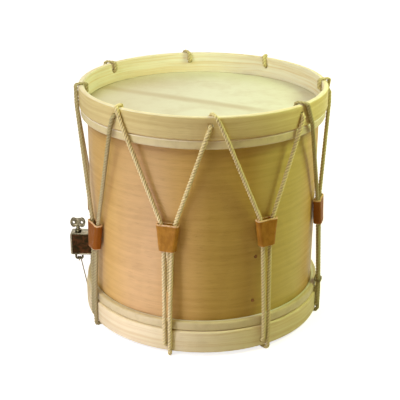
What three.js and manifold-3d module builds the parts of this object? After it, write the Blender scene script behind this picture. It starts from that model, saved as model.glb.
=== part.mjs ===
// A rope-tensioned folk drum. A wooden shell carries two skins, each lapped round a flesh hoop. Two
// counterhoops press on them and are drawn together by a laced cord, which leather ears pinch and tighten
// as they slide. A gut snare crosses the lower skin and is tightened by a thumb screw on the shell.
// Millimetres, +Z up. The origin is on the drum's axis, in the plane on which the lacing stands.

import * as THREE from 'three';
import { mergeVertices } from 'three/addons/utils/BufferGeometryUtils.js';
import Module from 'manifold-3d';

const wasm = await Module();
wasm.setup();

// Fit between neighbouring pieces, and the smoothness of what is turned
const clearance = 0.3;
const turnedSides = 48;
const smallSides = 12;
const arcSides = 6;
const lobeSides = 10;

// Shell
const shellRadius = 150;
const shellWall = 5;
const shellHeight = 250;
const shellEdgeBevel = 1.2;

// Skins, lapped round their flesh hoops
const skinThickness = 0.8;
const fleshHoopHeight = 9.6;
const fleshHoopWidth = 5.6;
const collarDrop = 1.2;
const lapRounding = 2.4;
const tuckSlit = 0.6;
const tuckBevel = 0.6;

// Counterhoops
const hoopWall = 7.5;
const hoopStandOff = 1.9;
const hoopRounding = 1.6;
const batterHoopHeight = 27.6;
const snareHoopHeight = 29.6;

// Lacing cord and its holes
const cordDiameter = 5.6;
const cordSides = 8;
const cordFlat = cordDiameter / 10;
const cordBend = 4;
const cordEase = 12;
const laceHoleDiameter = 8;
const batterHoleDepth = 11;
const snareHoleHeight = 9.5;
const laceLead = 5.4;
const laceInsideLead = 1.6;
const strandSpacing = 7;
const strandsCloseLevel = 58;

// Rim crossings of the cord in degrees round the drum, as laced by hand
const rimCrossings = [190, 231.5, 275, 318.75, 363, 416.9, 459.4, 505.6];

// Leather ears, one on each pair of strands
const firstEarAngle = 209.7;
const earHeights = [113, 143, 145, 135, 140, 146, 143, 116];
const earLength = 34.5;
const earTopWidth = 29;
const earBottomWidth = 20.8;
const leatherThickness = 2;
const earMouthEase = 1.5;
const earSlack = 0.9;
const earTailSpacing = 10;

// Spare end of the cord, which comes out of one ear between its strands and hangs behind them
const spareEndEar = 1;
const spareEndLevel = 88;
const spareEndHold = 8;
const spareEndDrop = 16;
const spareEndPinch = 0.6;
const spareEndSetBack = 3.4;

// Snare tensioner
const tensionerAngle = 178;
const plateThickness = 2;
const housingDepth = 31.2;
const housingWidth = 16;
const housingBottom = 65;
const housingHeight = 32;
const flangeHeight = 10;
const screwAxisDepth = 21;
const screwDiameter = 4;
const screwReach = 18;
const collarDiameter = 9;
const collarHeight = 3;
const neckDiameter = 5;
const neckHeight = 6;
const wingThickness = 3;
const wingWidth = 20.7;
const wingHeight = 14;
const wingLobeWidth = 9.5;
const wingHoleWidth = 4.4;
const wingHoleHeight = 6.4;
const yokeWidth = 10;
const yokeThickness = 3;
const yokeTravelDown = 2.1;
const yokeTravelUp = 4.2;
const nutHeight = 6;
const hookDiameter = 3;
const hookDrop = 9.5;
const hookLength = 9;
const hookTip = 4.5;
const hookBend = 2.4;
const slotWidth = 4;

// Screws that hold the housing, and tacks in the shell's seam
const mountScrewDiameter = 3.2;
const mountScrewHeadDiameter = 7;
const mountScrewHeadHeight = 2;
const mountScrewLength = 6;
const tackDiameter = 1.8;
const tackHeadDiameter = 4.4;
const tackHeadHeight = 1.2;
const tackLength = 4;
const tacks = [
  { name: 'seam_tack_upper', angle: 295.8, z: 128 },
  { name: 'seam_tack_lower', angle: 294.9, z: 68 },
];

// Gut snare
const gutDiameter = 1.6;
const gutSides = 8;
const gutClearance = 0.4;
const gutPitch = 2.4;
const gutBend = 2.2;
const gutGateHeight = 6;
const gutGateDiameter = 3.4;
const gutTieAngle = 349;
const gutTieEar = 3;
const gutTieTurns = 2;
const gutTieRise = 1.4;
const gutHookTurns = 1.25;
const gutEdgeInset = 12;
const stepsPerTurn = 24;

// Levels and radii that follow from the sizes above
const cordRadius = cordDiameter / 2;
const gutRadius = gutDiameter / 2;
const lapInnerRadius = shellRadius + clearance;
const fleshHoopRadius = lapInnerRadius + skinThickness + clearance;
const lapOuterRadius = fleshHoopRadius + fleshHoopWidth + clearance + skinThickness;
const lapDepth = fleshHoopHeight + 2 * (skinThickness + clearance);
const hoopRadius = lapOuterRadius + hoopStandOff;
const hoopInnerRadius = hoopRadius - hoopWall;
const cordOuterRadius = hoopRadius + clearance + cordRadius;
const cordInnerRadius = hoopInnerRadius - clearance - cordRadius;
const cordUnderLevel = cordRadius - cordFlat;
const snareHoopBottom = cordUnderLevel + cordRadius + clearance;
const snareHoopTop = snareHoopBottom + snareHoopHeight;
const snareFace = snareHoopTop + clearance - collarDrop;
const shellBottom = snareFace + skinThickness + clearance;
const shellTop = shellBottom + shellHeight;
const batterFace = shellTop + clearance + skinThickness;
const batterHoopBottom = batterFace - collarDrop + clearance;
const batterHoopTop = batterHoopBottom + batterHoopHeight;
const cordOverLevel = batterHoopTop + clearance + cordRadius;
const batterHoleLevel = batterHoopTop - batterHoleDepth;
const snareHoleLevel = snareHoopBottom + snareHoleHeight;
const gutGateLevel = snareHoopBottom + gutGateHeight;
const earCount = earHeights.length;
const fullTurn = 360;

// The strands lean in from the hoop's face below towards the chord between two crossings above
const strandTopRadius = cordOuterRadius * Math.cos(Math.PI / earCount);
const strandLean = (cordOuterRadius - strandTopRadius) / (batterHoopBottom - snareHoopTop);

const drum = new THREE.Group();
drum.name = 'folk_drum';

function material(color, roughness, metalness = 0) {
  return new THREE.MeshStandardMaterial({ color, roughness, metalness, flatShading: true });
}

const finishes = {
  shellWood: material(0xd8ae74, 0.5),
  hoopWood: material(0xe6cf9c, 0.5),
  fleshWood: material(0xdcc594, 0.6),
  skin: material(0xe9dcb4, 0.6),
  cord: material(0xc4ac7c, 0.9),
  leather: material(0xa95f2c, 0.6),
  plate: material(0x8f8a78, 0.35, 1),
  steel: material(0xb9b5a6, 0.3, 1),
  gut: material(0x8d8468, 0.6),
  tack: material(0x4a3a26, 0.5, 1),
};

function addPiece(name, geometry, finish, parent = drum) {
  const mesh = new THREE.Mesh(geometry, finish);
  mesh.name = name;
  parent.add(mesh);
  return mesh;
}

// Joins and cuts

function toSolid(geometry) {
  const bare = geometry.clone();
  bare.deleteAttribute('normal');
  bare.deleteAttribute('uv');
  const merged = mergeVertices(bare);
  return new wasm.Manifold(new wasm.Mesh({
    numProp: 3,
    vertProperties: new Float32Array(merged.getAttribute('position').array),
    triVerts: new Uint32Array(merged.getIndex().array),
  }));
}

function toGeometry(solid) {
  const { vertProperties, triVerts } = solid.getMesh();
  const geometry = new THREE.BufferGeometry();
  geometry.setAttribute('position', new THREE.BufferAttribute(vertProperties, 3));
  geometry.setIndex(new THREE.BufferAttribute(triVerts, 1));
  return geometry;
}

function cut(geometry, tools) {
  let solid = toSolid(geometry);
  for (const tool of tools) {
    solid = solid.subtract(toSolid(tool));
  }
  return toGeometry(solid);
}

function join(geometries) {
  let solid = toSolid(geometries[0]);
  for (const geometry of geometries.slice(1)) {
    solid = solid.add(toSolid(geometry));
  }
  return toGeometry(solid);
}

// Basic shapes

function polar(radius, angle, z) {
  const turn = THREE.MathUtils.degToRad(angle);
  return new THREE.Vector3(radius * Math.cos(turn), radius * Math.sin(turn), z);
}

function arcAngle(length, radius) {
  return THREE.MathUtils.radToDeg(length / radius);
}

function turned(profile, sides = turnedSides) {
  const points = profile.map(([radius, z]) => new THREE.Vector2(radius, z));
  if (THREE.ShapeUtils.isClockWise(points)) {
    points.reverse();
  }
  if (points[0].x > 0) {
    points.push(points[0].clone());
  }
  const geometry = new THREE.LatheGeometry(points, sides);
  geometry.rotateX(Math.PI / 2);
  return geometry;
}

function bevelledRing(inner, outer, low, high, bevel) {
  return turned([
    [inner + bevel, low], [outer - bevel, low], [outer, low + bevel], [outer, high - bevel],
    [outer - bevel, high], [inner + bevel, high], [inner, high - bevel], [inner, low + bevel],
  ]);
}

function box(xLow, xHigh, width, zLow, zHigh) {
  const geometry = new THREE.BoxGeometry(xHigh - xLow, width, zHigh - zLow);
  geometry.translate((xLow + xHigh) / 2, 0, (zLow + zHigh) / 2);
  return geometry;
}

function rod(diameter, length) {
  return new THREE.CylinderGeometry(diameter / 2, diameter / 2, length, smallSides);
}

function upright(diameter, x, zLow, zHigh) {
  const geometry = rod(diameter, zHigh - zLow);
  geometry.rotateX(Math.PI / 2);
  geometry.translate(x, 0, (zLow + zHigh) / 2);
  return geometry;
}

function plate(outline, thickness, curveSegments) {
  return new THREE.ExtrudeGeometry(outline, { depth: thickness, bevelEnabled: false, curveSegments });
}

function radialDrill(diameter, angle, z, innerRadius, outerRadius) {
  const geometry = rod(diameter, outerRadius - innerRadius);
  geometry.rotateZ(Math.PI / 2);
  geometry.translate((innerRadius + outerRadius) / 2, 0, z);
  geometry.rotateZ(THREE.MathUtils.degToRad(angle));
  return geometry;
}

// Cords: a route through corners that are rounded at their own bend radius, and a tube along it

class KnotRoute extends THREE.Curve {
  constructor(knots) {
    super();
    this.knots = knots;
  }

  getPoint(t, target = new THREE.Vector3()) {
    const last = this.knots.length - 1;
    const index = Math.min(Math.floor(t * last), last - 1);
    return target.lerpVectors(this.knots[index], this.knots[index + 1], t * last - index);
  }

  getTangent(t, target = new THREE.Vector3()) {
    const last = this.knots.length - 1;
    const index = Math.round(t * last);
    const knot = this.knots[index];
    const arriving = knot.clone().sub(this.knots[Math.max(index - 1, 0)]).normalize();
    const leaving = this.knots[Math.min(index + 1, last)].clone().sub(knot).normalize();
    return target.addVectors(arriving, leaving).normalize();
  }

  getUtoTmapping(u) {
    return u;
  }
}

const bendStep = Math.PI / 4;

function corner(point, bend = 0) {
  return { point, bend };
}

function roundedCorner(before, { point, bend }, after) {
  const back = before.clone().sub(point).normalize();
  const ahead = after.clone().sub(point).normalize();
  const halfAngle = back.angleTo(ahead) / 2;
  const turn = Math.PI - 2 * halfAngle;
  const steps = Math.max(Math.round(turn / bendStep), 1);
  const centre = back.clone().add(ahead).normalize().multiplyScalar(bend / Math.sin(halfAngle)).add(point);
  const start = back.clone().multiplyScalar(bend / Math.tan(halfAngle)).add(point).sub(centre);
  const axis = new THREE.Vector3().crossVectors(ahead, back).normalize();
  return Array.from({ length: steps + 1 }, (_, step) => (
    start.clone().applyAxisAngle(axis, (turn * step) / steps).add(centre)
  ));
}

function roundedRoute(corners) {
  return corners.flatMap((place, index) => {
    if (place.bend === 0) {
      return [place.point];
    }
    return roundedCorner(corners[index - 1].point, place, corners[index + 1].point);
  });
}

function tube(knots, radius, sides) {
  const section = new THREE.Shape(Array.from({ length: sides }, (_, side) => {
    const turn = (2 * Math.PI * (side + 0.5)) / sides;
    return new THREE.Vector2(radius * Math.cos(turn), radius * Math.sin(turn));
  }));
  return new THREE.ExtrudeGeometry(section, { steps: knots.length - 1, extrudePath: new KnotRoute(knots) });
}

// Ears and the strands that they hold

function earAngle(ear) {
  return firstEarAngle + (fullTurn / earCount) * ear;
}

function strandRadius(z) {
  return cordOuterRadius - strandLean * (z - snareHoopTop);
}

// A place beside an ear's middle line: across is positive towards larger angles
function earPlace(ear, across, z) {
  const turn = THREE.MathUtils.degToRad(earAngle(ear));
  const sideways = new THREE.Vector3(-Math.sin(turn), Math.cos(turn), 0).multiplyScalar(across);
  return polar(strandRadius(z), earAngle(ear), z).add(sideways);
}

const earTopSpread = earTopWidth / 2 - leatherThickness - clearance - cordRadius;
const earBottomSpread = earTailSpacing / 2;
const laceShift = arcAngle(strandSpacing / 2, cordOuterRadius);
const rimLead = arcAngle(laceLead, hoopRadius);
const rimInsideLead = arcAngle(laceInsideLead, hoopInnerRadius);

// Where a strand that runs straight from a place on the hoop's face to an ear leaves the hoop's lower edge
function hoopEdgeAngle(faceAngle, faceLevel, ear, side) {
  const mouthAngle = earAngle(ear) + side * arcAngle(earTopSpread, shellRadius);
  const mouthLevel = earHeights[ear] + earLength;
  const share = (faceLevel - batterHoopBottom) / (faceLevel - mouthLevel);
  return faceAngle + (mouthAngle - faceAngle) * share;
}

// The cord's two corners where it goes over the rim, and the ends of the two lengths that meet between them
function rimCrossing(angle) {
  const inner = polar(cordInnerRadius, angle - rimLead + rimInsideLead, cordOverLevel);
  const outer = polar(cordOuterRadius, angle, cordOverLevel);
  const halfGap = outer.clone().sub(inner).setLength(clearance / 2);
  const middle = inner.clone().lerp(outer, 0.5);
  return { inner, outer, arriving: middle.clone().sub(halfGap), leaving: middle.clone().add(halfGap) };
}

function lacingRoute(ear) {
  const angle = earAngle(ear);
  const start = rimCrossings[ear];
  const end = ear + 1 < earCount ? rimCrossings[ear + 1] : rimCrossings[0] + fullTurn;
  const endHole = end - rimLead;
  const startRim = rimCrossing(start);
  const endRim = rimCrossing(end);
  const edgeLevel = batterHoopBottom + hoopRounding;
  const mouthLevel = earHeights[ear] + earLength + earMouthEase;
  const tailLevel = earHeights[ear] - earMouthEase;
  const startEdge = hoopEdgeAngle(start, cordOverLevel, ear, -1);
  const endEdge = hoopEdgeAngle(endHole, batterHoleLevel, ear, 1);
  return roundedRoute([
    corner(startRim.leaving),
    corner(startRim.outer, cordBend),
    corner(polar(cordOuterRadius, startEdge, edgeLevel), cordEase),
    corner(earPlace(ear, -earTopSpread, mouthLevel), cordEase),
    corner(earPlace(ear, -earBottomSpread, tailLevel), cordEase),
    corner(earPlace(ear, -strandSpacing / 2, strandsCloseLevel), cordEase),
    corner(polar(cordOuterRadius, angle - laceShift, snareHoopTop)),
    corner(polar(cordOuterRadius, angle - laceShift, snareHoleLevel), cordBend),
    corner(polar(cordInnerRadius, angle - laceShift, snareHoleLevel), cordBend),
    corner(polar(cordInnerRadius, angle, cordUnderLevel), cordBend),
    corner(polar(cordOuterRadius, angle + laceShift, cordUnderLevel), cordBend),
    corner(polar(cordOuterRadius, angle + laceShift, snareHoopTop)),
    corner(earPlace(ear, strandSpacing / 2, strandsCloseLevel), cordEase),
    corner(earPlace(ear, earBottomSpread, tailLevel), cordEase),
    corner(earPlace(ear, earTopSpread, mouthLevel), cordEase),
    corner(polar(cordOuterRadius, endEdge, edgeLevel), cordEase),
    corner(polar(cordOuterRadius, endHole, batterHoleLevel), cordBend),
    corner(polar(cordInnerRadius, endHole, batterHoleLevel), cordBend),
    corner(endRim.inner, cordBend),
    corner(endRim.arriving),
  ]);
}

function spareEndRoute() {
  const angle = earAngle(spareEndEar);
  const tailLevel = earHeights[spareEndEar] - earMouthEase;
  const behind = (z, setBack) => polar(strandRadius(z) - setBack, angle, z);
  return roundedRoute([
    corner(behind(tailLevel + spareEndHold, spareEndPinch)),
    corner(behind(tailLevel, spareEndPinch), cordEase),
    corner(behind(tailLevel - spareEndDrop, spareEndSetBack), cordEase),
    corner(behind(spareEndLevel, spareEndSetBack)),
  ]);
}

function stadium(path, halfWidth, halfDepth) {
  const reach = halfWidth - halfDepth;
  path.absarc(reach, 0, halfDepth, -Math.PI / 2, Math.PI / 2);
  path.absarc(-reach, 0, halfDepth, Math.PI / 2, (3 * Math.PI) / 2);
  return path;
}

// A flattened sleeve that tapers from its mouth down to its lower end
function earSleeve() {
  const hollow = cordRadius + earSlack;
  const outline = stadium(new THREE.Shape(), earTopWidth / 2, hollow + leatherThickness);
  outline.holes.push(stadium(new THREE.Path(), earTopWidth / 2 - leatherThickness, hollow));
  const geometry = plate(outline, earLength, arcSides);
  const position = geometry.getAttribute('position');
  const taper = (earTopWidth - earBottomWidth) / 2;
  for (let index = 0; index < position.count; index += 1) {
    const x = position.getX(index);
    const narrowing = taper * (1 - position.getZ(index) / earLength);
    position.setX(index, x - Math.sign(x) * narrowing);
  }
  geometry.rotateZ(Math.PI / 2);
  return geometry;
}

function addLacing() {
  const size = 4 * cordOuterRadius;
  const standing = box(-size / 2, size / 2, size, -cordDiameter, 0);
  for (let ear = 0; ear < earCount; ear += 1) {
    const routes = [lacingRoute(ear), ...(ear === spareEndEar ? [spareEndRoute()] : [])];
    const cord = join(routes.map((route) => tube(route, cordRadius, cordSides)));
    addPiece(`lacing_${ear + 1}`, cut(cord, [standing]), finishes.cord);
    const turn = new THREE.Group();
    turn.rotation.z = THREE.MathUtils.degToRad(earAngle(ear));
    drum.add(turn);
    const sleeve = addPiece(`ear_${ear + 1}`, earSleeve(), finishes.leather, turn);
    sleeve.position.set(strandRadius(earHeights[ear]), 0, earHeights[ear]);
    sleeve.rotation.y = -Math.atan(strandLean);
  }
}

// Shell, skins and hoops

const housingBack = shellRadius + clearance;
const housingFront = housingBack + housingDepth;
const housingTop = housingBottom + housingHeight;
const mountHoleDiameter = mountScrewDiameter + 2 * clearance;
const mountScrews = [
  { name: 'tensioner_mount_screw_lower', z: housingBottom - flangeHeight / 2 },
  { name: 'tensioner_mount_screw_upper', z: housingTop + flangeHeight / 2 },
];

function addShell() {
  const innerRadius = shellRadius - shellWall;
  const ring = bevelledRing(innerRadius, shellRadius, shellBottom, shellTop, shellEdgeBevel);
  const drillInner = innerRadius - shellWall;
  const drillOuter = shellRadius + shellWall;
  const tackHole = tackDiameter + 2 * clearance;
  addPiece('shell', cut(ring, [
    ...mountScrews.map(({ z }) => (
      radialDrill(mountHoleDiameter, tensionerAngle, z, drillInner, drillOuter)
    )),
    ...tacks.map(({ angle, z }) => radialDrill(tackHole, angle, z, drillInner, drillOuter)),
  ]), finishes.shellWood);
}

// One skin: a disc that turns over the shell's edge, covers its flesh hoop and is tucked up behind it
function headProfile(face, inward) {
  const shoulder = shellRadius - shellEdgeBevel / 2;
  const lapBack = collarDrop + lapDepth;
  const under = collarDrop + skinThickness;
  const tuck = under + tuckSlit;
  const pocketInner = lapInnerRadius + skinThickness;
  const pocketOuter = lapOuterRadius - skinThickness;
  const bulge = lapRounding * (1 - Math.SQRT1_2);
  return [
    [0, 0], [shoulder, 0], [pocketInner, collarDrop], [pocketOuter, collarDrop], [lapOuterRadius, under],
    [lapOuterRadius, lapBack - lapRounding], [lapOuterRadius - bulge, lapBack - bulge],
    [lapOuterRadius - lapRounding, lapBack], [lapInnerRadius + tuckBevel, lapBack],
    [lapInnerRadius, lapBack - tuckBevel], [lapInnerRadius, tuck], [pocketInner, tuck],
    [pocketInner, lapBack - skinThickness], [lapOuterRadius - lapRounding, lapBack - skinThickness],
    [pocketOuter, lapBack - lapRounding], [pocketOuter, under], [lapInnerRadius + clearance, under],
    [shoulder - clearance, skinThickness], [0, skinThickness],
  ].map(([radius, depth]) => [radius, face + inward * depth]);
}

function addFleshHoop(name, face, inward) {
  const near = face + inward * (collarDrop + skinThickness + clearance);
  const far = near + inward * fleshHoopHeight;
  const outer = fleshHoopRadius + fleshHoopWidth;
  const [low, high] = [Math.min(near, far), Math.max(near, far)];
  const ring = bevelledRing(fleshHoopRadius, outer, low, high, lapRounding - skinThickness);
  addPiece(name, ring, finishes.fleshWood);
}

function addHoop(name, low, high, holes) {
  const ring = bevelledRing(hoopInnerRadius, hoopRadius, low, high, hoopRounding);
  const drills = holes.map(({ diameter, angle, z }) => (
    radialDrill(diameter, angle, z, hoopInnerRadius - hoopWall, hoopRadius + hoopWall)
  ));
  addPiece(name, cut(ring, drills), finishes.hoopWood);
}

function addHeads() {
  addPiece('batter_head', turned(headProfile(batterFace, -1)), finishes.skin);
  addPiece('snare_head', turned(headProfile(snareFace, 1)), finishes.skin);
  addFleshHoop('batter_flesh_hoop', batterFace, -1);
  addFleshHoop('snare_flesh_hoop', snareFace, 1);
}

function addHoops() {
  addHoop('batter_hoop', batterHoopBottom, batterHoopTop, rimCrossings.map((crossing) => (
    { diameter: laceHoleDiameter, angle: crossing - rimLead, z: batterHoleLevel }
  )));
  const laceHoles = earHeights.map((_, ear) => (
    { diameter: laceHoleDiameter, angle: earAngle(ear) - laceShift, z: snareHoleLevel }
  ));
  const gates = [tensionerAngle, gutTieAngle].map((angle) => (
    { diameter: gutGateDiameter, angle, z: gutGateLevel }
  ));
  addHoop('snare_hoop', snareHoopBottom, snareHoopTop, [...laceHoles, ...gates]);
}

// Snare tensioner, drawn at angle zero with x running out from the drum's axis

const screwX = housingBack + screwAxisDepth;
const screwHoleDiameter = screwDiameter + 2 * clearance;
const screwBottom = housingTop - plateThickness - screwReach;
const yokeTop = housingTop - plateThickness - yokeTravelUp - 2 * clearance;
const yokeBottom = housingBottom + plateThickness + yokeTravelDown + clearance;
const yokeBack = screwX - screwDiameter / 2 - clearance - 2 * yokeThickness;
const yokeFront = housingFront - plateThickness - 2 * clearance;
const hookX = yokeFront - hookDiameter;
const hookLevel = housingBottom - hookDrop;

function wing(bottom) {
  const lobe = (wingWidth - wingLobeWidth) / 2;
  const lobeRadius = wingLobeWidth / 2;
  const middle = wingHeight / 2;
  const notch = THREE.MathUtils.degToRad(60);
  const outline = new THREE.Shape();
  outline.absellipse(lobe, middle, lobeRadius, middle, notch - Math.PI, Math.PI - notch);
  outline.absellipse(-lobe, middle, lobeRadius, middle, notch, 2 * Math.PI - notch);
  for (const side of [-1, 1]) {
    const eye = new THREE.Path();
    eye.absellipse(side * lobe, middle, wingHoleWidth / 2, wingHoleHeight / 2, 0, 2 * Math.PI);
    outline.holes.push(eye);
  }
  const geometry = plate(outline, wingThickness, lobeSides);
  geometry.translate(0, 0, -wingThickness / 2);
  geometry.rotateX(Math.PI / 2);
  geometry.translate(screwX, 0, bottom);
  return geometry;
}

function thumbScrew() {
  const seat = housingTop + clearance;
  const neckBottom = seat + collarHeight;
  const wingBottom = neckBottom + neckHeight / 2;
  return join([
    upright(screwDiameter, screwX, screwBottom, neckBottom),
    upright(collarDiameter, screwX, seat, neckBottom),
    upright(neckDiameter, screwX, neckBottom - collarHeight / 2, neckBottom + neckHeight),
    wing(wingBottom),
  ]);
}

function housing() {
  const plateFront = housingBack + plateThickness;
  const floor = housingBottom + plateThickness;
  const ceiling = housingTop - plateThickness;
  const body = join([
    box(housingBack, housingFront, housingWidth, housingBottom, housingTop),
    box(housingBack, plateFront, housingWidth, housingBottom - flangeHeight, housingTop + flangeHeight),
  ]);
  const insideWidth = housingWidth - 2 * plateThickness;
  const hollow = box(plateFront, housingFront - plateThickness, insideWidth, floor, ceiling);
  const holeBottom = ceiling - plateThickness;
  const screwHole = upright(screwHoleDiameter, screwX, holeBottom, housingTop + plateThickness);
  const slotReach = hookDiameter / 2 + clearance;
  const slotBottom = housingBottom - plateThickness;
  const hookSlot = box(hookX - slotReach, hookX + slotReach, slotWidth, slotBottom, floor + plateThickness);
  const mountHoles = mountScrews.map(({ z }) => (
    radialDrill(mountHoleDiameter, 0, z, housingBack - plateThickness, plateFront + plateThickness)
  ));
  return cut(body, [hollow, screwHole, hookSlot, ...mountHoles]);
}

function hookRoute() {
  return roundedRoute([
    corner(new THREE.Vector3(hookX, 0, yokeBottom + yokeThickness / 2)),
    corner(new THREE.Vector3(hookX, 0, hookLevel), hookBend),
    corner(new THREE.Vector3(hookX - hookLength, 0, hookLevel), hookBend),
    corner(new THREE.Vector3(hookX - hookLength, 0, hookLevel + hookTip)),
  ]);
}

function hookAndYoke() {
  const strapFront = yokeBack + yokeThickness;
  const yoke = join([
    box(yokeBack, strapFront, yokeWidth, yokeBottom, yokeTop),
    box(yokeBack, yokeFront, yokeWidth, yokeTop - nutHeight, yokeTop),
    box(yokeBack, yokeFront, yokeWidth, yokeBottom, yokeBottom + yokeThickness),
    tube(hookRoute(), hookDiameter / 2, cordSides),
  ]);
  const thread = upright(screwHoleDiameter, screwX, yokeTop - 2 * nutHeight, yokeTop + nutHeight);
  return cut(yoke, [thread]);
}

// A round-headed fastener: its head's underside is at zero and it points inwards along -X
function fastener(headDiameter, headHeight, diameter, length) {
  const head = headDiameter / 2;
  const shank = diameter / 2;
  const geometry = turned([
    [0, -length], [shank, -length], [shank, 0], [head, 0],
    [head, headHeight / 3], [head / 2, headHeight], [0, headHeight],
  ], smallSides);
  geometry.rotateY(Math.PI / 2);
  return geometry;
}

function addTensioner() {
  const turn = new THREE.Group();
  turn.rotation.z = THREE.MathUtils.degToRad(tensionerAngle);
  drum.add(turn);
  addPiece('tensioner_housing', housing(), finishes.plate, turn);
  addPiece('tensioner_thumb_screw', thumbScrew(), finishes.steel, turn);
  addPiece('tensioner_hook', hookAndYoke(), finishes.steel, turn);
  const head = [mountScrewHeadDiameter, mountScrewHeadHeight];
  for (const { name, z } of mountScrews) {
    const shape = fastener(...head, mountScrewDiameter, mountScrewLength);
    const screw = addPiece(name, shape, finishes.steel, turn);
    screw.position.set(housingBack + plateThickness + clearance, 0, z);
  }
}

function addTacks() {
  for (const { name, angle, z } of tacks) {
    const turn = new THREE.Group();
    turn.rotation.z = THREE.MathUtils.degToRad(angle);
    drum.add(turn);
    const nail = fastener(tackHeadDiameter, tackHeadHeight, tackDiameter, tackLength);
    const tack = addPiece(name, nail, finishes.tack, turn);
    tack.position.set(shellRadius + clearance, 0, z);
  }
}

// Gut snare: tied on the hook, led through the hoop, across the lower skin and out to an ear's strands

const upAxis = new THREE.Vector3(0, 0, 1);

function atTensioner(x, y, z) {
  return new THREE.Vector3(x, y, z).applyAxisAngle(upAxis, THREE.MathUtils.degToRad(tensionerAngle));
}

// The turn round the hook's bar starts on top of it and leaves downwards on its near side
function hookTurns() {
  const radius = hookDiameter / 2 + gutClearance + gutRadius;
  const start = hookX - hookLength / 2 + (gutPitch * gutHookTurns) / 2;
  const steps = Math.round(gutHookTurns * stepsPerTurn);
  const turns = Array.from({ length: steps + 1 }, (_, step) => {
    const turn = Math.PI / 2 + (2 * Math.PI * step) / stepsPerTurn;
    const x = start - (gutPitch * step) / stepsPerTurn;
    return atTensioner(x, radius * Math.cos(turn), hookLevel + radius * Math.sin(turn));
  });
  return [atTensioner(start, gutDiameter, hookLevel + radius), ...turns];
}

// A place on the racetrack round both strands of an ear, counted in turns from its far end
function tieTrack(turns, z) {
  const radius = cordRadius + gutClearance + gutRadius;
  const half = strandSpacing / 2;
  const bow = Math.PI * radius;
  const lap = 2 * (bow + strandSpacing);
  const travelled = (turns % 1) * lap + bow / 2;
  const second = travelled % lap >= lap / 2;
  const along = travelled % (lap / 2);
  const turn = Math.min(along, bow) / radius - Math.PI / 2;
  const across = half + radius * Math.cos(turn) - Math.max(along - bow, 0);
  const out = radius * Math.sin(turn);
  const side = second ? -1 : 1;
  const outward = polar(out * side, earAngle(gutTieEar), 0);
  return earPlace(gutTieEar, across * side, z).add(outward);
}

function tieTurns() {
  const low = shellBottom + clearance + skinThickness + lapDepth + gutTieRise;
  const steps = gutTieTurns * stepsPerTurn;
  const turns = Array.from({ length: steps + 1 }, (_, step) => (
    tieTrack(step / stepsPerTurn, low + (gutPitch * step) / stepsPerTurn)
  ));
  const tail = turns.at(-1).clone().add(polar(gutDiameter, earAngle(gutTieEar), 0));
  return [...turns, tail];
}

function gutRoute() {
  const faceRadius = hoopRadius + clearance + gutRadius;
  const insideRadius = hoopInnerRadius - gutEdgeInset;
  const underHead = snareFace - clearance - gutRadius;
  const loop = hookTurns();
  const tie = tieTurns();
  const run = roundedRoute([
    corner(loop.at(-1)),
    corner(polar(faceRadius, tensionerAngle, gutGateLevel), gutBend),
    corner(polar(hoopInnerRadius - gutBend, tensionerAngle, gutGateLevel), gutBend),
    corner(polar(insideRadius, tensionerAngle, underHead), gutBend),
    corner(polar(insideRadius, gutTieAngle, underHead), gutBend),
    corner(polar(hoopInnerRadius - gutBend, gutTieAngle, gutGateLevel), gutBend),
    corner(polar(faceRadius, gutTieAngle, gutGateLevel), gutBend),
    corner(tie[0]),
  ]);
  return [...loop.slice(0, -1), ...run.slice(0, -1), ...tie];
}

// Least gap between stretches of one cord that lie further apart along it than this many diameters
const gapStretch = 4;

function leastGap(knots, diameter) {
  const route = new KnotRoute(knots);
  const points = knots.flatMap((knot, index) => {
    const next = knots[Math.min(index + 1, knots.length - 1)];
    const parts = Math.max(Math.ceil(knot.distanceTo(next) / diameter), 1);
    return Array.from({ length: parts }, (_, part) => (
      route.getPoint((index + part / parts) / (knots.length - 1))
    ));
  });
  const lengths = [0];
  for (let index = 1; index < points.length; index += 1) {
    lengths.push(lengths[index - 1] + points[index].distanceTo(points[index - 1]));
  }
  let least = Infinity;
  for (let first = 0; first < points.length; first += 1) {
    for (let second = first + 1; second < points.length; second += 1) {
      if (lengths[second] - lengths[first] > gapStretch * diameter) {
        least = Math.min(least, points[first].distanceTo(points[second]));
      }
    }
  }
  return least - diameter;
}

function addGut() {
  const knots = gutRoute();
  console.log(`gut snare: least gap to itself ${leastGap(knots, gutDiameter).toFixed(2)} mm`);
  addPiece('gut_snare', tube(knots, gutRadius, gutSides), finishes.gut);
}

addShell();
addHeads();
addHoops();
addLacing();
addTensioner();
addTacks();
addGut();

export default drum;
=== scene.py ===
"""Looks of a rope-tensioned folk drum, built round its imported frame. Metres, +Z up, angles in degrees."""

import math

import bmesh
import bpy
import numpy as np
from mathutils import Matrix, Vector, noise


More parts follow.
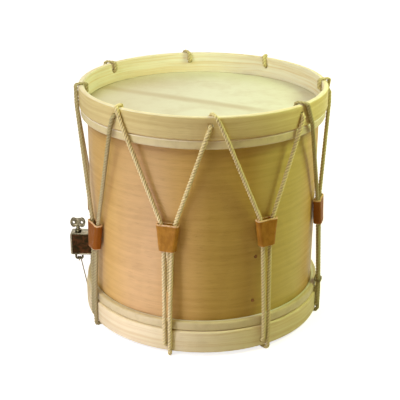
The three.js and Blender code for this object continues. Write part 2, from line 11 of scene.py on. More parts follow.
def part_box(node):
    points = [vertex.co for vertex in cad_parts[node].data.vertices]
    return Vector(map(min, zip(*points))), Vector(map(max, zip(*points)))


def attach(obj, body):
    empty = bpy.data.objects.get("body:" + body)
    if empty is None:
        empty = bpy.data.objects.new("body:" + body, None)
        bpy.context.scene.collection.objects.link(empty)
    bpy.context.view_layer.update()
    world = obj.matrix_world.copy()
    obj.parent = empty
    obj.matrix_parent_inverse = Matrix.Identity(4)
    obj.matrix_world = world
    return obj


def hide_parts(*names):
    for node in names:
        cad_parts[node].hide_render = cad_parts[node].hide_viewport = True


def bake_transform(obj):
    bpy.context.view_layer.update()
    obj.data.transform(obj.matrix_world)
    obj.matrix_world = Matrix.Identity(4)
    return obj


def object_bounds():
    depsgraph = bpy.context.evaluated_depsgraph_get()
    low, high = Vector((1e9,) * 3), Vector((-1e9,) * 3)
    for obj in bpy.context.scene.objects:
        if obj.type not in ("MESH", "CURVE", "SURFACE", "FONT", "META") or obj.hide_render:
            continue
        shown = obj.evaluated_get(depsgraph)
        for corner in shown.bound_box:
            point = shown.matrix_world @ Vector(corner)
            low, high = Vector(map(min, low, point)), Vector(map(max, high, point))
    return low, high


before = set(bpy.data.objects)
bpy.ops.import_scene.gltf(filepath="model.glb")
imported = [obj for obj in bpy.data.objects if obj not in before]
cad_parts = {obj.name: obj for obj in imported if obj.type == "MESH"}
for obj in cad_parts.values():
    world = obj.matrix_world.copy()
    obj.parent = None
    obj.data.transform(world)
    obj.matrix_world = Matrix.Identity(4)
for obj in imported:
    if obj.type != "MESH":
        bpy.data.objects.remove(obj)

bl_info = {
    "name": "Folk drum",
    "version": (1, 0, 0),
    "blender": (4, 5, 0),
    "location": "3D View > Sidebar > Drum",
    "description": "Shell, skins, hoops, laced cord, leather ears and gut snare of a rope-tensioned drum",
    "category": "Object",
}

CAD_LOW, CAD_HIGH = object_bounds()

# Levels and radii of the frame's own pieces
SHELL_LOW, SHELL_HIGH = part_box("shell")
BATTER_LOW, BATTER_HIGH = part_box("batter_hoop")
SNARE_LOW, SNARE_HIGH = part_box("snare_hoop")
BATTER_SKIN_LOW, BATTER_SKIN_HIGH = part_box("batter_head")
SNARE_SKIN_LOW, SNARE_SKIN_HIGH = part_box("snare_head")
FLESH_LOW, FLESH_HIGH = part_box("batter_flesh_hoop")
SNARE_FLESH_LOW, SNARE_FLESH_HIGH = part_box("snare_flesh_hoop")
SHELL_RADIUS = SHELL_HIGH.x
HOOP_RADIUS = BATTER_HIGH.x
LAP_RADIUS = BATTER_SKIN_HIGH.x
FLESH_RADIUS = FLESH_HIGH.x

# Painted light along the shell's board, mixed in two places with the board's own colour: (angle, full reach,
# faded reach, share of the tint)
# Rosy board on the shell's left, partly its own colour and partly a painted sheen
SHELL_ROSY_AND_SHEEN = (241, 0.012, 0.062, 0.55)
# Painted shade on the front of the shell, between its lit left and right sides
SHELL_PAINTED_SHADE = (283, 0.018, 0.055, 0.55)
# Olive board on the shell's right, partly its own colour and partly the fill light's tint painted in
SHELL_GREYED_AND_FILL_TINT = (313, 0.020, 0.062, 0.55)
GRAIN_WANDER = 0.014
PORE = (0.16, 0.09, 0.035)

# Fits and walls
CLEARANCE = 0.0003
SHELL_WALL = 0.005
HOOP_WALL = 0.0075
SKIN = 0.0008
FLESH_WALL = 0.0056
COLLAR_DROP = 0.0012
HOOP_INNER = HOOP_RADIUS - HOOP_WALL
LAP_INNER = SHELL_RADIUS + CLEARANCE
SHELL_ROUNDING = 0.0012
HOOP_SEAT_ROUNDING = 0.0005
FLESH_ROUNDING = 0.0014
DRILL_OVERRUN = 0.004
FLARE_DEPTH = 0.6

# Skins: where they turn over the shell's edge, their tuck behind the flesh hoop, and their puckers
SKIN_TURN_INSET = 0.0006
SKIN_FLAT_INSET = 0.002
SKIN_RINGS = 40
SKIN_CROWN = ((0.0008, 0.00004), (0, 0.0003))
SKIN_TUCK = 0.0006
LAP_TOP_ROUNDING = 0.0004
LAP_FOOT_ROUNDING = 0.0012
PUCKER_BAND = 0.0004
PUCKER_SCALE = 70
PUCKER_DEPTH = 0.0003
PUCKER_LIMIT = 0.00015
SPINE_START = Vector((-0.1255, 0.0573))
SPINE_END = Vector((0.0631, -0.0374))
STAIN_PLACE = (-0.085, 0.080, BATTER_SKIN_HIGH.z)

# Lacing: where the cord crosses the rim, and how it bends
EAR_COUNT = 8
RIM_CROSSINGS = (190, 231.5, 275, 318.75, 363, 416.9, 459.4, 505.6)
FIRST_EAR_ANGLE = 209.7
EAR_LEVELS = (0.113, 0.143, 0.145, 0.135, 0.140, 0.146, 0.143, 0.116)
CORD_BEND = 0.004
CORD_EASE = 0.012
CORD_STEP = 0.0007
CORD_STRANDS = 3
CORD_SIDES = 21
STRAND_SPACING = 0.007
STRANDS_CLOSE_LEVEL = 0.058
EAR_TAIL_SPACING = 0.010
RIM_PRESS = 0.62
LACE_LEAD = 0.0054
LACE_INSIDE_LEAD = 0.0016
LACE_HOLE_RADIUS = 0.0034
LACE_HOLE_FLARE = 0.0006
BATTER_HOLE_LEVEL = BATTER_HIGH.z - 0.011
SNARE_HOLE_LEVEL = SNARE_LOW.z + 0.0095
HOOP_EDGE_LEVEL = BATTER_LOW.z + 0.0016
# Grime and painted shade on each bay's cord, darkest on the bays at the drum's left and right edges
CORD_GRIME_AND_SHADE = (0.55, 0.0, 0.08, 0.5, 0.3, 0.2, 0.3, 0.4)
LOWER_GRIME = 0.14
EAR_EASE = 0.0015
EAR_SLACK = 0.0009
# How far each ear is darkened: partly tanned leather and partly painted shade, darkest on the ears at the
# drum's left and right edges
EAR_TAN_AND_SHADE = (1.0, 0.0, 0.15, 0.9, 0.4, 0.1, 0.6, 0.3)
EAR_EDGE_ROUNDING = 0.0007
EAR_EDGE_STEPS = 3
EAR_CUT_BAND = 0.0018
EAR_ROWS = 10
EAR_CORNER_SHARE = 0.75
EAR_WOBBLE = 0.0004
EAR_WOBBLE_SCALE = 60
EAR_WOBBLE_STEP = 7

# Spare end of the cord, which comes out of one ear between its strands and hangs behind them
SPARE_END_EAR = 1
SPARE_END_LEVEL = 0.088
SPARE_END_HOLD = 0.008
SPARE_END_DROP = 0.016
SPARE_END_PINCH = 0.0006
SPARE_END_SET_BACK = 0.0034

# Snare tensioner, drawn at angle zero with x running out from the drum's axis
TENSIONER_ANGLE = 178
HOUSING_BACK = SHELL_RADIUS + CLEARANCE
HOUSING_FRONT = HOUSING_BACK + 0.0312
HOUSING_WIDTH = 0.016
HOUSING_BOTTOM = 0.065
HOUSING_TOP = 0.097
FLANGE_HEIGHT = 0.010
PLATE = 0.002
PLATE_ROUNDING = 0.0004
BACK_PLATE_ROUNDING = 0.0005
CASE_BEND = 0.0026
CASE_INNER_BEND = 0.0008
CHEEK_INSET = 0.0007
SCREW_X = HOUSING_BACK + 0.021
SCREW_BORE = 0.0023
SCREW_REACH = 0.018
HOOK_X = 0.1759
HOOK_LEVEL = 0.0555
HOOK_LENGTH = 0.009
HOOK_TIP = 0.0045
HOOK_DIAMETER = 0.003
HOOK_BEND = 0.0024
YOKE_LOW = 0.0694
YOKE_HIGH = 0.0902
YOKE_BACK = 0.1630
YOKE_FRONT = 0.1789
YOKE_WIDTH = 0.010
YOKE_PLATE = 0.003
YOKE_ROUNDING = 0.0003
NUT_HEIGHT = 0.006
WIRE_SIDES = 16
WIRE_END = 0.0004
WIRE_END_SHARE = 0.75

# Thumb screw: its wing, and (radius, rise) pairs of its stem from the tip and from its seat on the case
WING_LIFT = 0.006
WING_LOBE = 0.0056
WING_HALF_WIDTH = 0.00475
WING_HALF_HEIGHT = 0.007
WING_HALF_PLATE = 0.0015
WING_ROUNDING = 0.0007
WING_BEVEL_STEPS = 3
WING_NOTCH = math.radians(60)
WING_EYE = (0.0016, 0.0021)
STEM_TIP = ((0, 0), (0.0016, 0), (0.002, 0.0006))
STEM_COLLAR = (
    (0.002, 0), (0.0042, 0), (0.0045, 0.0004), (0.0045, 0.0024), (0.0041, 0.003), (0.0027, 0.0033),
    (0.0025, 0.0045), (0.0025, 0.0084), (0.0021, 0.009), (0, 0.009))

# Gut snare
GUT_GATE_LEVEL = SNARE_LOW.z + 0.006
GUT_GATE_RADIUS = 0.0017
GUT_GATE_FLARE = 0.0004
GUT_TIE_ANGLE = 349
GUT_TIE_EAR = 3
GUT_TIE_TURNS = 2
GUT_TIE_LEVEL = SNARE_SKIN_HIGH.z + 0.0024
GUT_HOOK_TURNS = 1.25
GUT_PITCH = 0.0024
GUT_GAP = 0.0004
GUT_BEND = 0.0022
GUT_INSET = 0.012
GUT_STEP = 0.0006
GUT_STRANDS = 3
GUT_SIDES = 12
GUT_GROOVE = 0.14
TURN_STEPS = 24

# Tacks in the shell's overlap, and the screws of the tensioner's back plate
TACK_PLACES = ((295.8, 0.128), (294.9, 0.068))
MOUNT_SCREW_LEVELS = (HOUSING_BOTTOM - FLANGE_HEIGHT / 2, HOUSING_TOP + FLANGE_HEIGHT / 2)

# Head's radius and rise, shank's radius, and length; the corners of the screws' slot
TACK = (0.0022, 0.0012, 0.0009, 0.0035)
PLATE_SCREW = (0.0035, 0.0020, 0.0016, 0.0055)
DOME_STEPS = 8
DOME_SIDE = 0.25
SHANK_TIP = 0.4
SLOT_CORNERS = ((0.0012, -0.004, -0.0004), (0.004, 0.004, 0.0004))

# Camera, placed as the drum is seen
LOOK_AT = Vector((0, 0, 0.1462))
CAMERA_DISTANCE = 1.24837
CAMERA_ELEVATION = math.radians(22.344)
CAMERA_ROLL = math.radians(0.398)
CAMERA_LENS = 83.0
CAMERA_SENSOR = 36
CAMERA_SHIFT = (-0.0064, 0.0013)

# Floor, and how it whitens away from the drum: (near, far, share near, share far)
FLOOR_HALF = 6.0
FLOOR_LEVEL = -0.0002
FLOOR_GLOW = (0.3, 1.2, 0.78, 1.0)
FLOOR_PATCH_SCALE = 3.0
FLOOR_PATCH_SPAN = (0.3, 0.7, 0.0, 0.03)
FLOOR_PATCH_TONE = 0.9
FLOOR_ROUGHNESS = 0.9

# Ambient light, and lamps: (name, azimuth, elevation, distance, size, power, colour)
AMBIENT = (1.0, 0.42, 0.05, 1)
AMBIENT_STRENGTH = 0.17
WHITE = (1, 1, 1, 1)
LAMPS = (
    ("key", 232, -17, 0.34, (0.08, 0.26), 0.48, (0.71, 0.69, 1.0)),
    ("fill", 350, 45, 0.80, (0.30, 0.30), 3.8, (0.80, 1.0, 0.50)),
    ("top", 220, 50, 1.0, (0.50, 0.50), 5.5, (0.92, 1.0, 0.94)),
    ("back", 95, 36, 1.8, (0.8, 0.8), 4.8, (1.0, 0.91, 0.97)),
)

# Finishes. A span is the low and high of a pattern, then the values there where they aren't zero and one.
NOISE_MIDDLE = 0.5
GRAIN_DRIFT_SCALE = (7, 12, 0)
GRAIN_FINE_SCALE = (3, 6.5, 1)
GRAIN_BROAD_SHARE = 0.72
PORE_SCALE = (11, 18, 1)
PORE_SPAN = (0.60, 0.74)
FIGURE_SCALE = (17, 11, 0)
FIGURE_TWIST = 1.4
TINT_AND_LIGHT_PALE = 1.1
TINT_AND_LIGHT_DEEP = 0.8
WOOD_CALM_SPAN = (0.40, 0.62)
WOOD_STREAK_SPAN = (0.28, 0.72)
WOOD_FIGURE_SPAN = (0.40, 0.68)
WOOD_PORE_SHARE = 0.16
WOOD_PORE_DEPTH = 0.6
WOOD_ROUGHNESS_SPAN = (0.3, 0.7, 0.46, 0.36)
WOOD_RELIEF = 0.0002
COAT_ROUGHNESS = 0.35

# Painted light on the hoops, by distance from the axis and by level: pale inside them and on the lower hoop,
# and a painted highlight on the upper rim
PAINTED_INSIDE_LIGHT_SPAN = (HOOP_INNER + 0.0003, HOOP_INNER + 0.0020, 1.0, 0.0)
PAINTED_RIM_HIGHLIGHT_SPAN = (BATTER_HIGH.z - 0.0012, BATTER_HIGH.z - 0.0004, 0.0, 0.9)
PAINTED_LOWER_LIGHT_SPAN = (SNARE_HIGH.z, SNARE_HIGH.z + 0.002, 0.36, 0.0)
PAINTED_LIGHT_STREAK_SPAN = (0.34, 0.60)
PAINTED_LIGHT_SHARE = 0.9

# Skin: patches as (size, low, high), its backbone, its stain, painted shade towards its left side, and its
# lap with a painted highlight along its top
SKIN_BROAD_PATCHES = (0.055, 0.42, 0.72)
SKIN_SMALL_PATCHES = (0.013, 0.45, 0.75)
SKIN_BROAD_SHARE = 0.35
SKIN_SMALL_SHARE = 0.14
SPINE_SHARE = 0.75
SPINE_SWAY = 0.008
SPINE_SWAY_SCALE = 22.0
SPINE_SPAN = (0.002, 0.015, 1.0, 0.0)
SPINE_FADE_SPAN = (-0.02, 0.04, 1.0, 0.15)
STAIN_SPAN = (0.01, 0.055, 0.75, 0.0)
# Painted shade towards the skin's left side
SKIN_LEFT_SHADE_SPAN = (-0.13, 0.03, 0.5, 0.0)
LAP_PATCH_SHARE = 0.5
LAP_TOP_LEVEL = BATTER_SKIN_HIGH.z - COLLAR_DROP
# Painted highlight along the top of the lap, just under the hoop
LAP_HIGHLIGHT_SPAN = (LAP_TOP_LEVEL - 0.0028, LAP_TOP_LEVEL - 0.0012)
LOWER_LAP_SPAN = (SNARE_SKIN_HIGH.z, SNARE_SKIN_HIGH.z + 0.01, 0.45, 0.0)
LAPPED_SPAN = (HOOP_INNER, HOOP_INNER + 0.002)
SKIN_ROUGHNESS_SPAN = (0.3, 0.7, 0.42, 0.58)
SKIN_RELIEF = 0.00012

# Cord and gut
FIBRE_STRETCH = 14
FIBRE_SPAN = (0.18, 0.52)
CORD_WEAR_SCALE = (60, 60, 22)
CORD_WEAR_SPAN = (0.45, 0.75, 0.0, 0.25)
# How the dirt and painted shade in the grooves darken the cord
GROOVE_SHARPNESS = 1.6
GROOVE_DIRT_AND_SHADE_TONE = 0.25
CORD_ROUGHNESS_SPAN = (0.3, 0.7, 0.92, 0.74)
CORD_RELIEF = 0.0003

# Leather and its cut edges, with patches as (size, low, high)
HIDE_PATCHES = (0.011, 0.35, 0.70)
HIDE_PEBBLE_SCALE = 1100.0
HIDE_PEBBLE_SPAN = (0.3, 0.8, 0.0, 0.3)
HIDE_ROUGHNESS_SPAN = (0.0, 1.0, 0.62, 0.48)
HIDE_RELIEF = 0.00022
HIDE_SHINE = 0.15
CUT_PATCHES = (0.003, 0.35, 0.75)
CUT_ROUGHNESS_SPAN = (0.3, 0.7, 0.75, 0.95)
CUT_RELIEF = 0.0002

# Metal: tarnish as (size, low, high), scratches, and the brighter lid of the case and the strip beside its
# front that carries a painted highlight along the strap's edges
TARNISH_PATCHES = (0.006, 0.35, 0.65)
SCRATCH_SCALE = (900, 900, 5000)
METAL_RELIEF = 0.00003
# Brighter lid, and a painted highlight along the strap's front edges
RUBBED_AND_HIGHLIGHT_SHARE = 0.8
RUBBED_AND_HIGHLIGHT_BLUR = 0.0004
HIGHLIGHT_STRIP_START = HOUSING_FRONT - PLATE
HIGHLIGHT_STRIP_END = HOUSING_FRONT - 0.0002

# How finely the pieces are cut, and the angles from which their edges are sharp
TURNED_SIDES = 288
SMALL_SIDES = 32
ROUND_STEPS = 6
ELLIPSE_STEPS = 48
SAME_PLACE = 1e-7
SHARP_ANGLE = 32
EAR_SHARP_ANGLE = 50
BEVEL_ANGLE = math.radians(40)
FLAT_ANGLE = math.radians(1)


def tint(code):
    """Linear colour of a six-digit sRGB code."""
    shares = [int(code[at:at + 2], 16) / 255 for at in (0, 2, 4)]
    return tuple(s / 12.92 if s <= 0.04045 else ((s + 0.055) / 1.055) ** 2.4 for s in shares)


def length_value(label, words, default):
    return bpy.props.FloatProperty(name=label, description=words, default=default, unit="LENGTH", precision=4)


def share_value(label, words, default):
    return bpy.props.FloatProperty(name=label, description=words, default=default, subtype="FACTOR")


def colour_value(label, words, code):
    return bpy.props.FloatVectorProperty(
        name=label, description=words, default=tint(code), size=3, subtype="COLOR", min=0, max=1)


class DrumSizes(bpy.types.PropertyGroup):
    """Sizes that give the finished pieces their own shapes."""

    cord_diameter: length_value("Cord diameter", "Thickness of the laid cord", 0.0056)
    cord_lay: length_value("Cord lay", "Length of one turn of the cord's strands", 0.0126)
    cord_groove: share_value("Cord groove", "Depth of the groove between strands", 0.36)
    gut_diameter: length_value("Gut diameter", "Thickness of the gut snare", 0.0016)
    gut_lay: length_value("Gut lay", "Length of one turn of the twisted gut", 0.0048)
    hoop_rounding: length_value("Hoop rounding", "Rounding of the counterhoops' edges", 0.0024)
    lap_rounding: length_value("Lap rounding", "Rounding of the skin's lap", 0.0026)
    ear_length: length_value("Ear length", "Height of a leather ear", 0.0345)
    ear_top_width: length_value("Ear mouth width", "Width of a leather ear at its mouth", 0.029)
    ear_bottom_width: length_value("Ear lower width", "Width of a leather ear at its lower end", 0.0208)
    leather: length_value("Leather thickness", "Thickness of the ears' leather", 0.002)
    ear_pinch: share_value("Mouth pinch", "How far an ear's mouth is pressed flat between its strands", 0.24)


class DrumColours(bpy.types.PropertyGroup):
    """Colours of the finishes."""

    shell_pale: colour_value("Shell, pale", "Pale streaks of the shell's wood", "dab56d")
    shell_deep: colour_value("Shell, deep", "Deep streaks of the shell's wood", "c79f59")
    # Rosy board on the shell's left, partly its own colour and partly a painted sheen
    shell_rosy_and_sheen: colour_value("Shell, rosy part", "Rosy part of the shell's board", "d6b083")
    # Painted shade on the front of the shell, between its lit left and right sides
    shell_painted_shade: colour_value("Shell beside its seam", "Darkened wood beside the shell's overlap", "b59538")
    # Olive board on the shell's right, partly its own colour and partly the fill light's tint painted in
    shell_greyed_and_fill_tint: colour_value("Shell, greyed part", "Greyed part of the shell's board", "d3c76f")
    hoop_pale: colour_value("Hoops, pale", "Pale streaks of the hoops' wood", "eedda2")
    hoop_deep: colour_value("Hoops, deep", "Deep streaks of the hoops' wood", "d9c287")
    # Painted light: pale inside the hoops and on the lower hoop, and a painted highlight on the upper rim,
    # streaked with the next colour
    hoop_painted_light: colour_value("Hoops, bare", "Bare wood inside the hoops and on their rims", "fffae8")
    hoop_painted_light_streaks: colour_value("Hoops, bare streaks", "Streaks in the hoops' bare wood", "f2dfb8")
    skin_pale: colour_value("Skin, pale", "Pale parts of the goat skin", "dedcc2")
    skin_deep: colour_value("Skin, deep", "Darker parts of the goat skin", "b9a778")
    skin_lap: colour_value("Skin's lap", "Skin where it is lapped round the flesh hoop", "ddcd9b")
    # Painted highlight along the top of the lap, just under the hoop
    skin_lap_highlight: colour_value("Lap's edge", "Scraped edge of the lap, next to the hoop", "fff6e0")
    cord_pale: colour_value("Cord, pale", "Clean fibres of the cord", "fbe9b0")
    cord_deep: colour_value("Cord, deep", "Grooves and dirt of the cord", "cfb570")
    # Grime and painted shade, darkest on the bays at the drum's left and right edges
    cord_grime_and_shade: colour_value("Cord, grime", "Handled lengths of the cord", "7f784e")
    leather_pale: colour_value("Leather, pale", "Rubbed parts of the ears' leather", "b98228")
    leather_deep: colour_value("Leather, deep", "Dark parts of the ears' leather", "a06c1e")
    # Partly tanned leather and partly painted shade, darkest on the ears at the drum's left and right edges
    leather_tan_and_shade: colour_value("Leather, tanned", "Ears that have darkened most", "864a04")
    leather_edge: colour_value("Leather, cut edge", "Cut edges of the leather", "ecc898")
    # Also the brighter lid of the tensioner's case, and the painted highlight along its strap's front edges
    nickel: colour_value("Nickel", "Rubbed plating of the tensioner's case and its screws", "8c8468")
    worn_nickel: colour_value("Worn nickel", "Tarnished plating of the thumb screw and hook", "6a6349")
    cheek: colour_value("Tensioner's cheeks", "Darkened sides of the tensioner", "402614")
    cheek_deep: colour_value("Cheeks, deep", "Darkest patches of the tensioner's sides", "25200f")
    gut: colour_value("Gut", "Dried gut of the snare", "a1946c")
    tack: colour_value("Tacks", "Darkened steel of the tacks", "94683a")
    floor: colour_value("Floor", "Pale ground under the drum", "dddbd4")


class Nodes:
    """Adds nodes to one tree. An input's value is linked where it is a socket, and set where it isn't."""

    def __init__(self, tree):
        self.tree = tree

    def add(self, kind, inputs=None, **settings):
        made = self.tree.nodes.new(kind)
        for name, value in settings.items():
            setattr(made, name, value)
        for key, value in (inputs or {}).items():
            self.put(value, made.inputs[key])
        return made

    def first(self, kind, inputs=None, **settings):
        return self.add(kind, inputs, **settings).outputs[0]

    def put(self, value, socket):
        if isinstance(value, bpy.types.NodeSocket):
            self.tree.links.new(value, socket)
        else:
            socket.default_value = value

    def maths(self, operation, first, second=0.0, clamp=False):
        return self.first("ShaderNodeMath", {0: first, 1: second}, operation=operation, use_clamp=clamp)

    def plus(self, first, second):
        return self.maths("ADD", first, second)

    def minus(self, first, second):
        return self.maths("SUBTRACT", first, second)

    def times(self, first, second):
        return self.maths("MULTIPLY", first, second)

    def mix(self, share, first, second):
        inputs = {0: share, 6: as_colour(first), 7: as_colour(second)}
        return self.add("ShaderNodeMix", inputs, data_type="RGBA").outputs[2]

    def span(self, value, low, high, to_low=0.0, to_high=1.0):
        inputs = {0: value, 1: low, 2: high, 3: to_low, 4: to_high}
        return self.first("ShaderNodeMapRange", inputs, interpolation_type="SMOOTHSTEP")

    def stretched(self, vector, scale):
        return self.first("ShaderNodeMapping", {"Vector": vector, "Scale": scale})

    def split(self, vector):
        return self.add("ShaderNodeSeparateXYZ", {0: vector}).outputs

    def distance(self, vector, place=(0, 0, 0)):
        return self.add("ShaderNodeVectorMath", {0: vector, 1: place}, operation="DISTANCE").outputs["Value"]

    def from_axis(self, vector):
        return self.distance(self.stretched(vector, (1, 1, 0)))

    def noise(self, vector, scale=1.0, detail=2.0, roughness=0.5, distortion=0.0):
        inputs = {"Vector": vector, "Scale": scale, "Detail": detail, "Roughness": roughness,
                  "Distortion": distortion}
        return self.first("ShaderNodeTexNoise", inputs)

    def attribute(self, name, kind="Fac"):
        return self.add("ShaderNodeAttribute", attribute_name=name).outputs[kind]

    def group(self, tree, inputs):
        return self.add("ShaderNodeGroup", inputs, node_tree=tree).outputs

    def bump(self, height, distance):
        return self.first("ShaderNodeBump", {"Height": height, "Distance": distance})

    def seen(self):
        """One for what the camera, a reflection or glass sees, and zero for light on the object."""
        path = self.add("ShaderNodeLightPath").outputs
        mirrored = self.plus(path["Is Glossy Ray"], path["Is Transmission Ray"])
        return self.maths("ADD", path["Is Camera Ray"], mirrored, clamp=True)


def as_colour(value):
    if isinstance(value, bpy.types.NodeSocket):
        return value
    return (*value[:3], 1.0)


def toned(colour, share):
    return tuple(share * part for part in colour[:3])


def tree_once(name):
    """Marks the maker of a node tree, which is made when it is first asked for and found by name later."""
    def wrap(make):
        return lambda: bpy.data.node_groups.get(name) or make(name)
    return wrap


def shader_group(name, inputs, outputs):
    """Starts a shader node group and gives its builder, its input sockets and its output node."""
    tree = bpy.data.node_groups.new(name, "ShaderNodeTree")
    for label, kind, default in inputs:
        socket = tree.interface.new_socket(label, in_out="INPUT", socket_type=kind)
        if default is not None:
            socket.default_value = default
    for label in outputs:
        tree.interface.new_socket(label, in_out="OUTPUT", socket_type="NodeSocketFloat")
    return Nodes(tree), tree.nodes.new("NodeGroupInput").outputs, tree.nodes.new("NodeGroupOutput")


@tree_once("wood_grain")
def wood_grain(name):
    """Streaks along the first coordinate, short pores and a cloudy figure."""
    nodes, given, result = shader_group(
        name,
        [("Place", "NodeSocketVector", None), ("Streak length", "NodeSocketFloat", 0.16),
         ("Streak width", "NodeSocketFloat", 0.006), ("Wander", "NodeSocketFloat", 0.004)],
        ["Tone", "Pores", "Figure"])
    place = nodes.split(given["Place"])
    slow = nodes.noise(nodes.stretched(given["Place"], GRAIN_DRIFT_SCALE))
    drift = nodes.times(nodes.minus(slow, NOISE_MIDDLE), given["Wander"])
    along = nodes.maths("DIVIDE", place[0], given["Streak length"])
    across = nodes.maths("DIVIDE", nodes.plus(place[1], drift), given["Streak width"])
    streaks = nodes.first("ShaderNodeCombineXYZ", {0: along, 1: across})
    broad = nodes.noise(streaks, detail=3)
    fine = nodes.noise(nodes.stretched(streaks, GRAIN_FINE_SCALE), detail=4, roughness=0.6)
    tone = nodes.plus(nodes.times(broad, GRAIN_BROAD_SHARE), nodes.times(fine, 1 - GRAIN_BROAD_SHARE))
    nodes.put(tone, result.inputs["Tone"])
    dashes = nodes.noise(nodes.stretched(streaks, PORE_SCALE), detail=1)
    nodes.put(nodes.span(dashes, *PORE_SPAN), result.inputs["Pores"])
    cloud = nodes.noise(nodes.stretched(given["Place"], FIGURE_SCALE), detail=3, distortion=FIGURE_TWIST)
    nodes.put(cloud, result.inputs["Figure"])
    return nodes.tree


@tree_once("mottling")
def mottling(name):
    """Soft patches of one size with finer ones inside them."""
    nodes, given, result = shader_group(
        name,
        [("Place", "NodeSocketVector", None), ("Size", "NodeSocketFloat", 0.02),
         ("Low", "NodeSocketFloat", 0.4), ("High", "NodeSocketFloat", 0.65)],
        ["Patches", "Grain"])
    scale = nodes.maths("DIVIDE", 1.0, given["Size"])
    patches = nodes.noise(given["Place"], scale, detail=4, roughness=0.6, distortion=0.3)
    nodes.put(nodes.span(patches, given["Low"], given["High"]), result.inputs["Patches"])
    grain = nodes.noise(given["Place"], nodes.times(scale, 16.0), detail=3)
    nodes.put(grain, result.inputs["Grain"])
    return nodes.tree


def mottled(nodes, place, size, low, high):
    return nodes.group(mottling(), {"Place": place, "Size": size, "Low": low, "High": high})


def new_material(name):
    """A cleared material: its node builder and its principled shader."""
    material = bpy.data.materials.new(name)
    material.use_nodes = True
    material.node_tree.nodes.clear()
    nodes = Nodes(material.node_tree)
    shader = nodes.add("ShaderNodeBsdfPrincipled")
    nodes.add("ShaderNodeOutputMaterial", {"Surface": shader.outputs[0]})
    return material, nodes, shader


def dress(nodes, shader, colour, roughness, height, depth):
    """Gives a shader its colour, its roughness and the relief of its surface."""
    nodes.put(colour, shader.inputs["Base Color"])
    nodes.put(roughness, shader.inputs["Roughness"])
    nodes.put(nodes.bump(height, depth), shader.inputs["Normal"])


def uv_place(nodes):
    return nodes.first("ShaderNodeUVMap", uv_map="grain")


def object_place(nodes):
    return nodes.add("ShaderNodeTexCoord").outputs["Object"]


def painted_light_mask(nodes):
    """One inside the counterhoops, less on the upper rim and the lower hoop: where pale colour paints light
    inside and on the lower hoop, and a highlight on the rim.
    """
    place = object_place(nodes)
    inside = nodes.span(nodes.from_axis(place), *PAINTED_INSIDE_LIGHT_SPAN)
    level = nodes.split(place)[2]
    rim = nodes.span(level, *PAINTED_RIM_HIGHLIGHT_SPAN)
    lower = nodes.span(level, *PAINTED_LOWER_LIGHT_SPAN)
    return nodes.maths("MAXIMUM", inside, nodes.maths("MAXIMUM", rim, lower))


def near_angle(nodes, place, angle, full, faded, share):
    """The share within the full reach of an angle on the shell, and zero beyond the faded reach."""
    along = nodes.minus(nodes.split(place)[0], math.radians(angle) * SHELL_RADIUS)
    return nodes.span(nodes.maths("ABSOLUTE", along), full, faded, share, 0.0)


def wood(name, pale, deep, streak, figure, shine, bare=None, calm=1.0, tints_and_painted_light=()):
    """Varnished wood, its grain along the piece's own surface. Streaks fade to the calm share in places.
    Tints near given angles are painted light, in places mixed with the board's colour, and the pale colours
    paint light inside the hoops and on the lower hoop, and a highlight on the rim.
    """
    material, nodes, shader = new_material(name)
    place = uv_place(nodes)
    grain = nodes.group(wood_grain(), {
        "Place": place, "Streak length": streak[0], "Streak width": streak[1], "Wander": GRAIN_WANDER})
    # Tints near given angles: a rosy board with a painted sheen, painted shade, and an olive board with the
    # fill light's tint painted in
    for tint_and_light, *where in tints_and_painted_light:
        share = near_angle(nodes, place, *where)
        pale = nodes.mix(share, pale, toned(tint_and_light, TINT_AND_LIGHT_PALE))
        deep = nodes.mix(share, deep, toned(tint_and_light, TINT_AND_LIGHT_DEEP))
    strength = nodes.span(grain["Figure"], *WOOD_CALM_SPAN, calm, 1.0)
    swing = nodes.times(nodes.minus(grain["Tone"], NOISE_MIDDLE), strength)
    colour = nodes.mix(nodes.span(nodes.plus(swing, NOISE_MIDDLE), *WOOD_STREAK_SPAN), deep, pale)
    colour = nodes.mix(nodes.span(grain["Figure"], *WOOD_FIGURE_SPAN, 0.0, figure), colour, deep)
    # Painted light: pale inside the hoops and on the lower hoop, and a painted highlight on the upper rim
    if bare:
        streaked = nodes.mix(nodes.span(grain["Tone"], *PAINTED_LIGHT_STREAK_SPAN), bare[1], bare[0])
        colour = nodes.mix(nodes.times(painted_light_mask(nodes), PAINTED_LIGHT_SHARE), colour, streaked)
    colour = nodes.mix(nodes.times(grain["Pores"], WOOD_PORE_SHARE), colour, PORE)
    roughness = nodes.span(grain["Tone"], *WOOD_ROUGHNESS_SPAN)
    height = nodes.minus(grain["Tone"], nodes.times(grain["Pores"], WOOD_PORE_DEPTH))
    dress(nodes, shader, colour, roughness, height, WOOD_RELIEF)
    shader.inputs["Specular IOR Level"].default_value = shine
    shader.inputs["Coat Weight"].default_value = shine / 2
    shader.inputs["Coat Roughness"].default_value = COAT_ROUGHNESS
    return material


def backbone(nodes, place):
    """One along the dark line that the backbone leaves in the skin, fading past its end."""
    x, y, _ = nodes.split(place)
    spine = (SPINE_END - SPINE_START).normalized()
    offset = nodes.plus(nodes.times(x, -spine.y), nodes.times(y, spine.x))
    start_offset = SPINE_START.y * spine.x - SPINE_START.x * spine.y
    sway = nodes.times(nodes.minus(nodes.noise(place, SPINE_SWAY_SCALE), NOISE_MIDDLE), SPINE_SWAY)
    aside = nodes.maths("ABSOLUTE", nodes.plus(nodes.minus(offset, start_offset), sway))
    run = nodes.plus(nodes.times(x, spine.x), nodes.times(y, spine.y))
    end = SPINE_END.dot(spine)
    before, past, *shares = SPINE_FADE_SPAN
    fade = nodes.span(run, end + before, end + past, *shares)
    return nodes.times(nodes.span(aside, *SPINE_SPAN), fade)


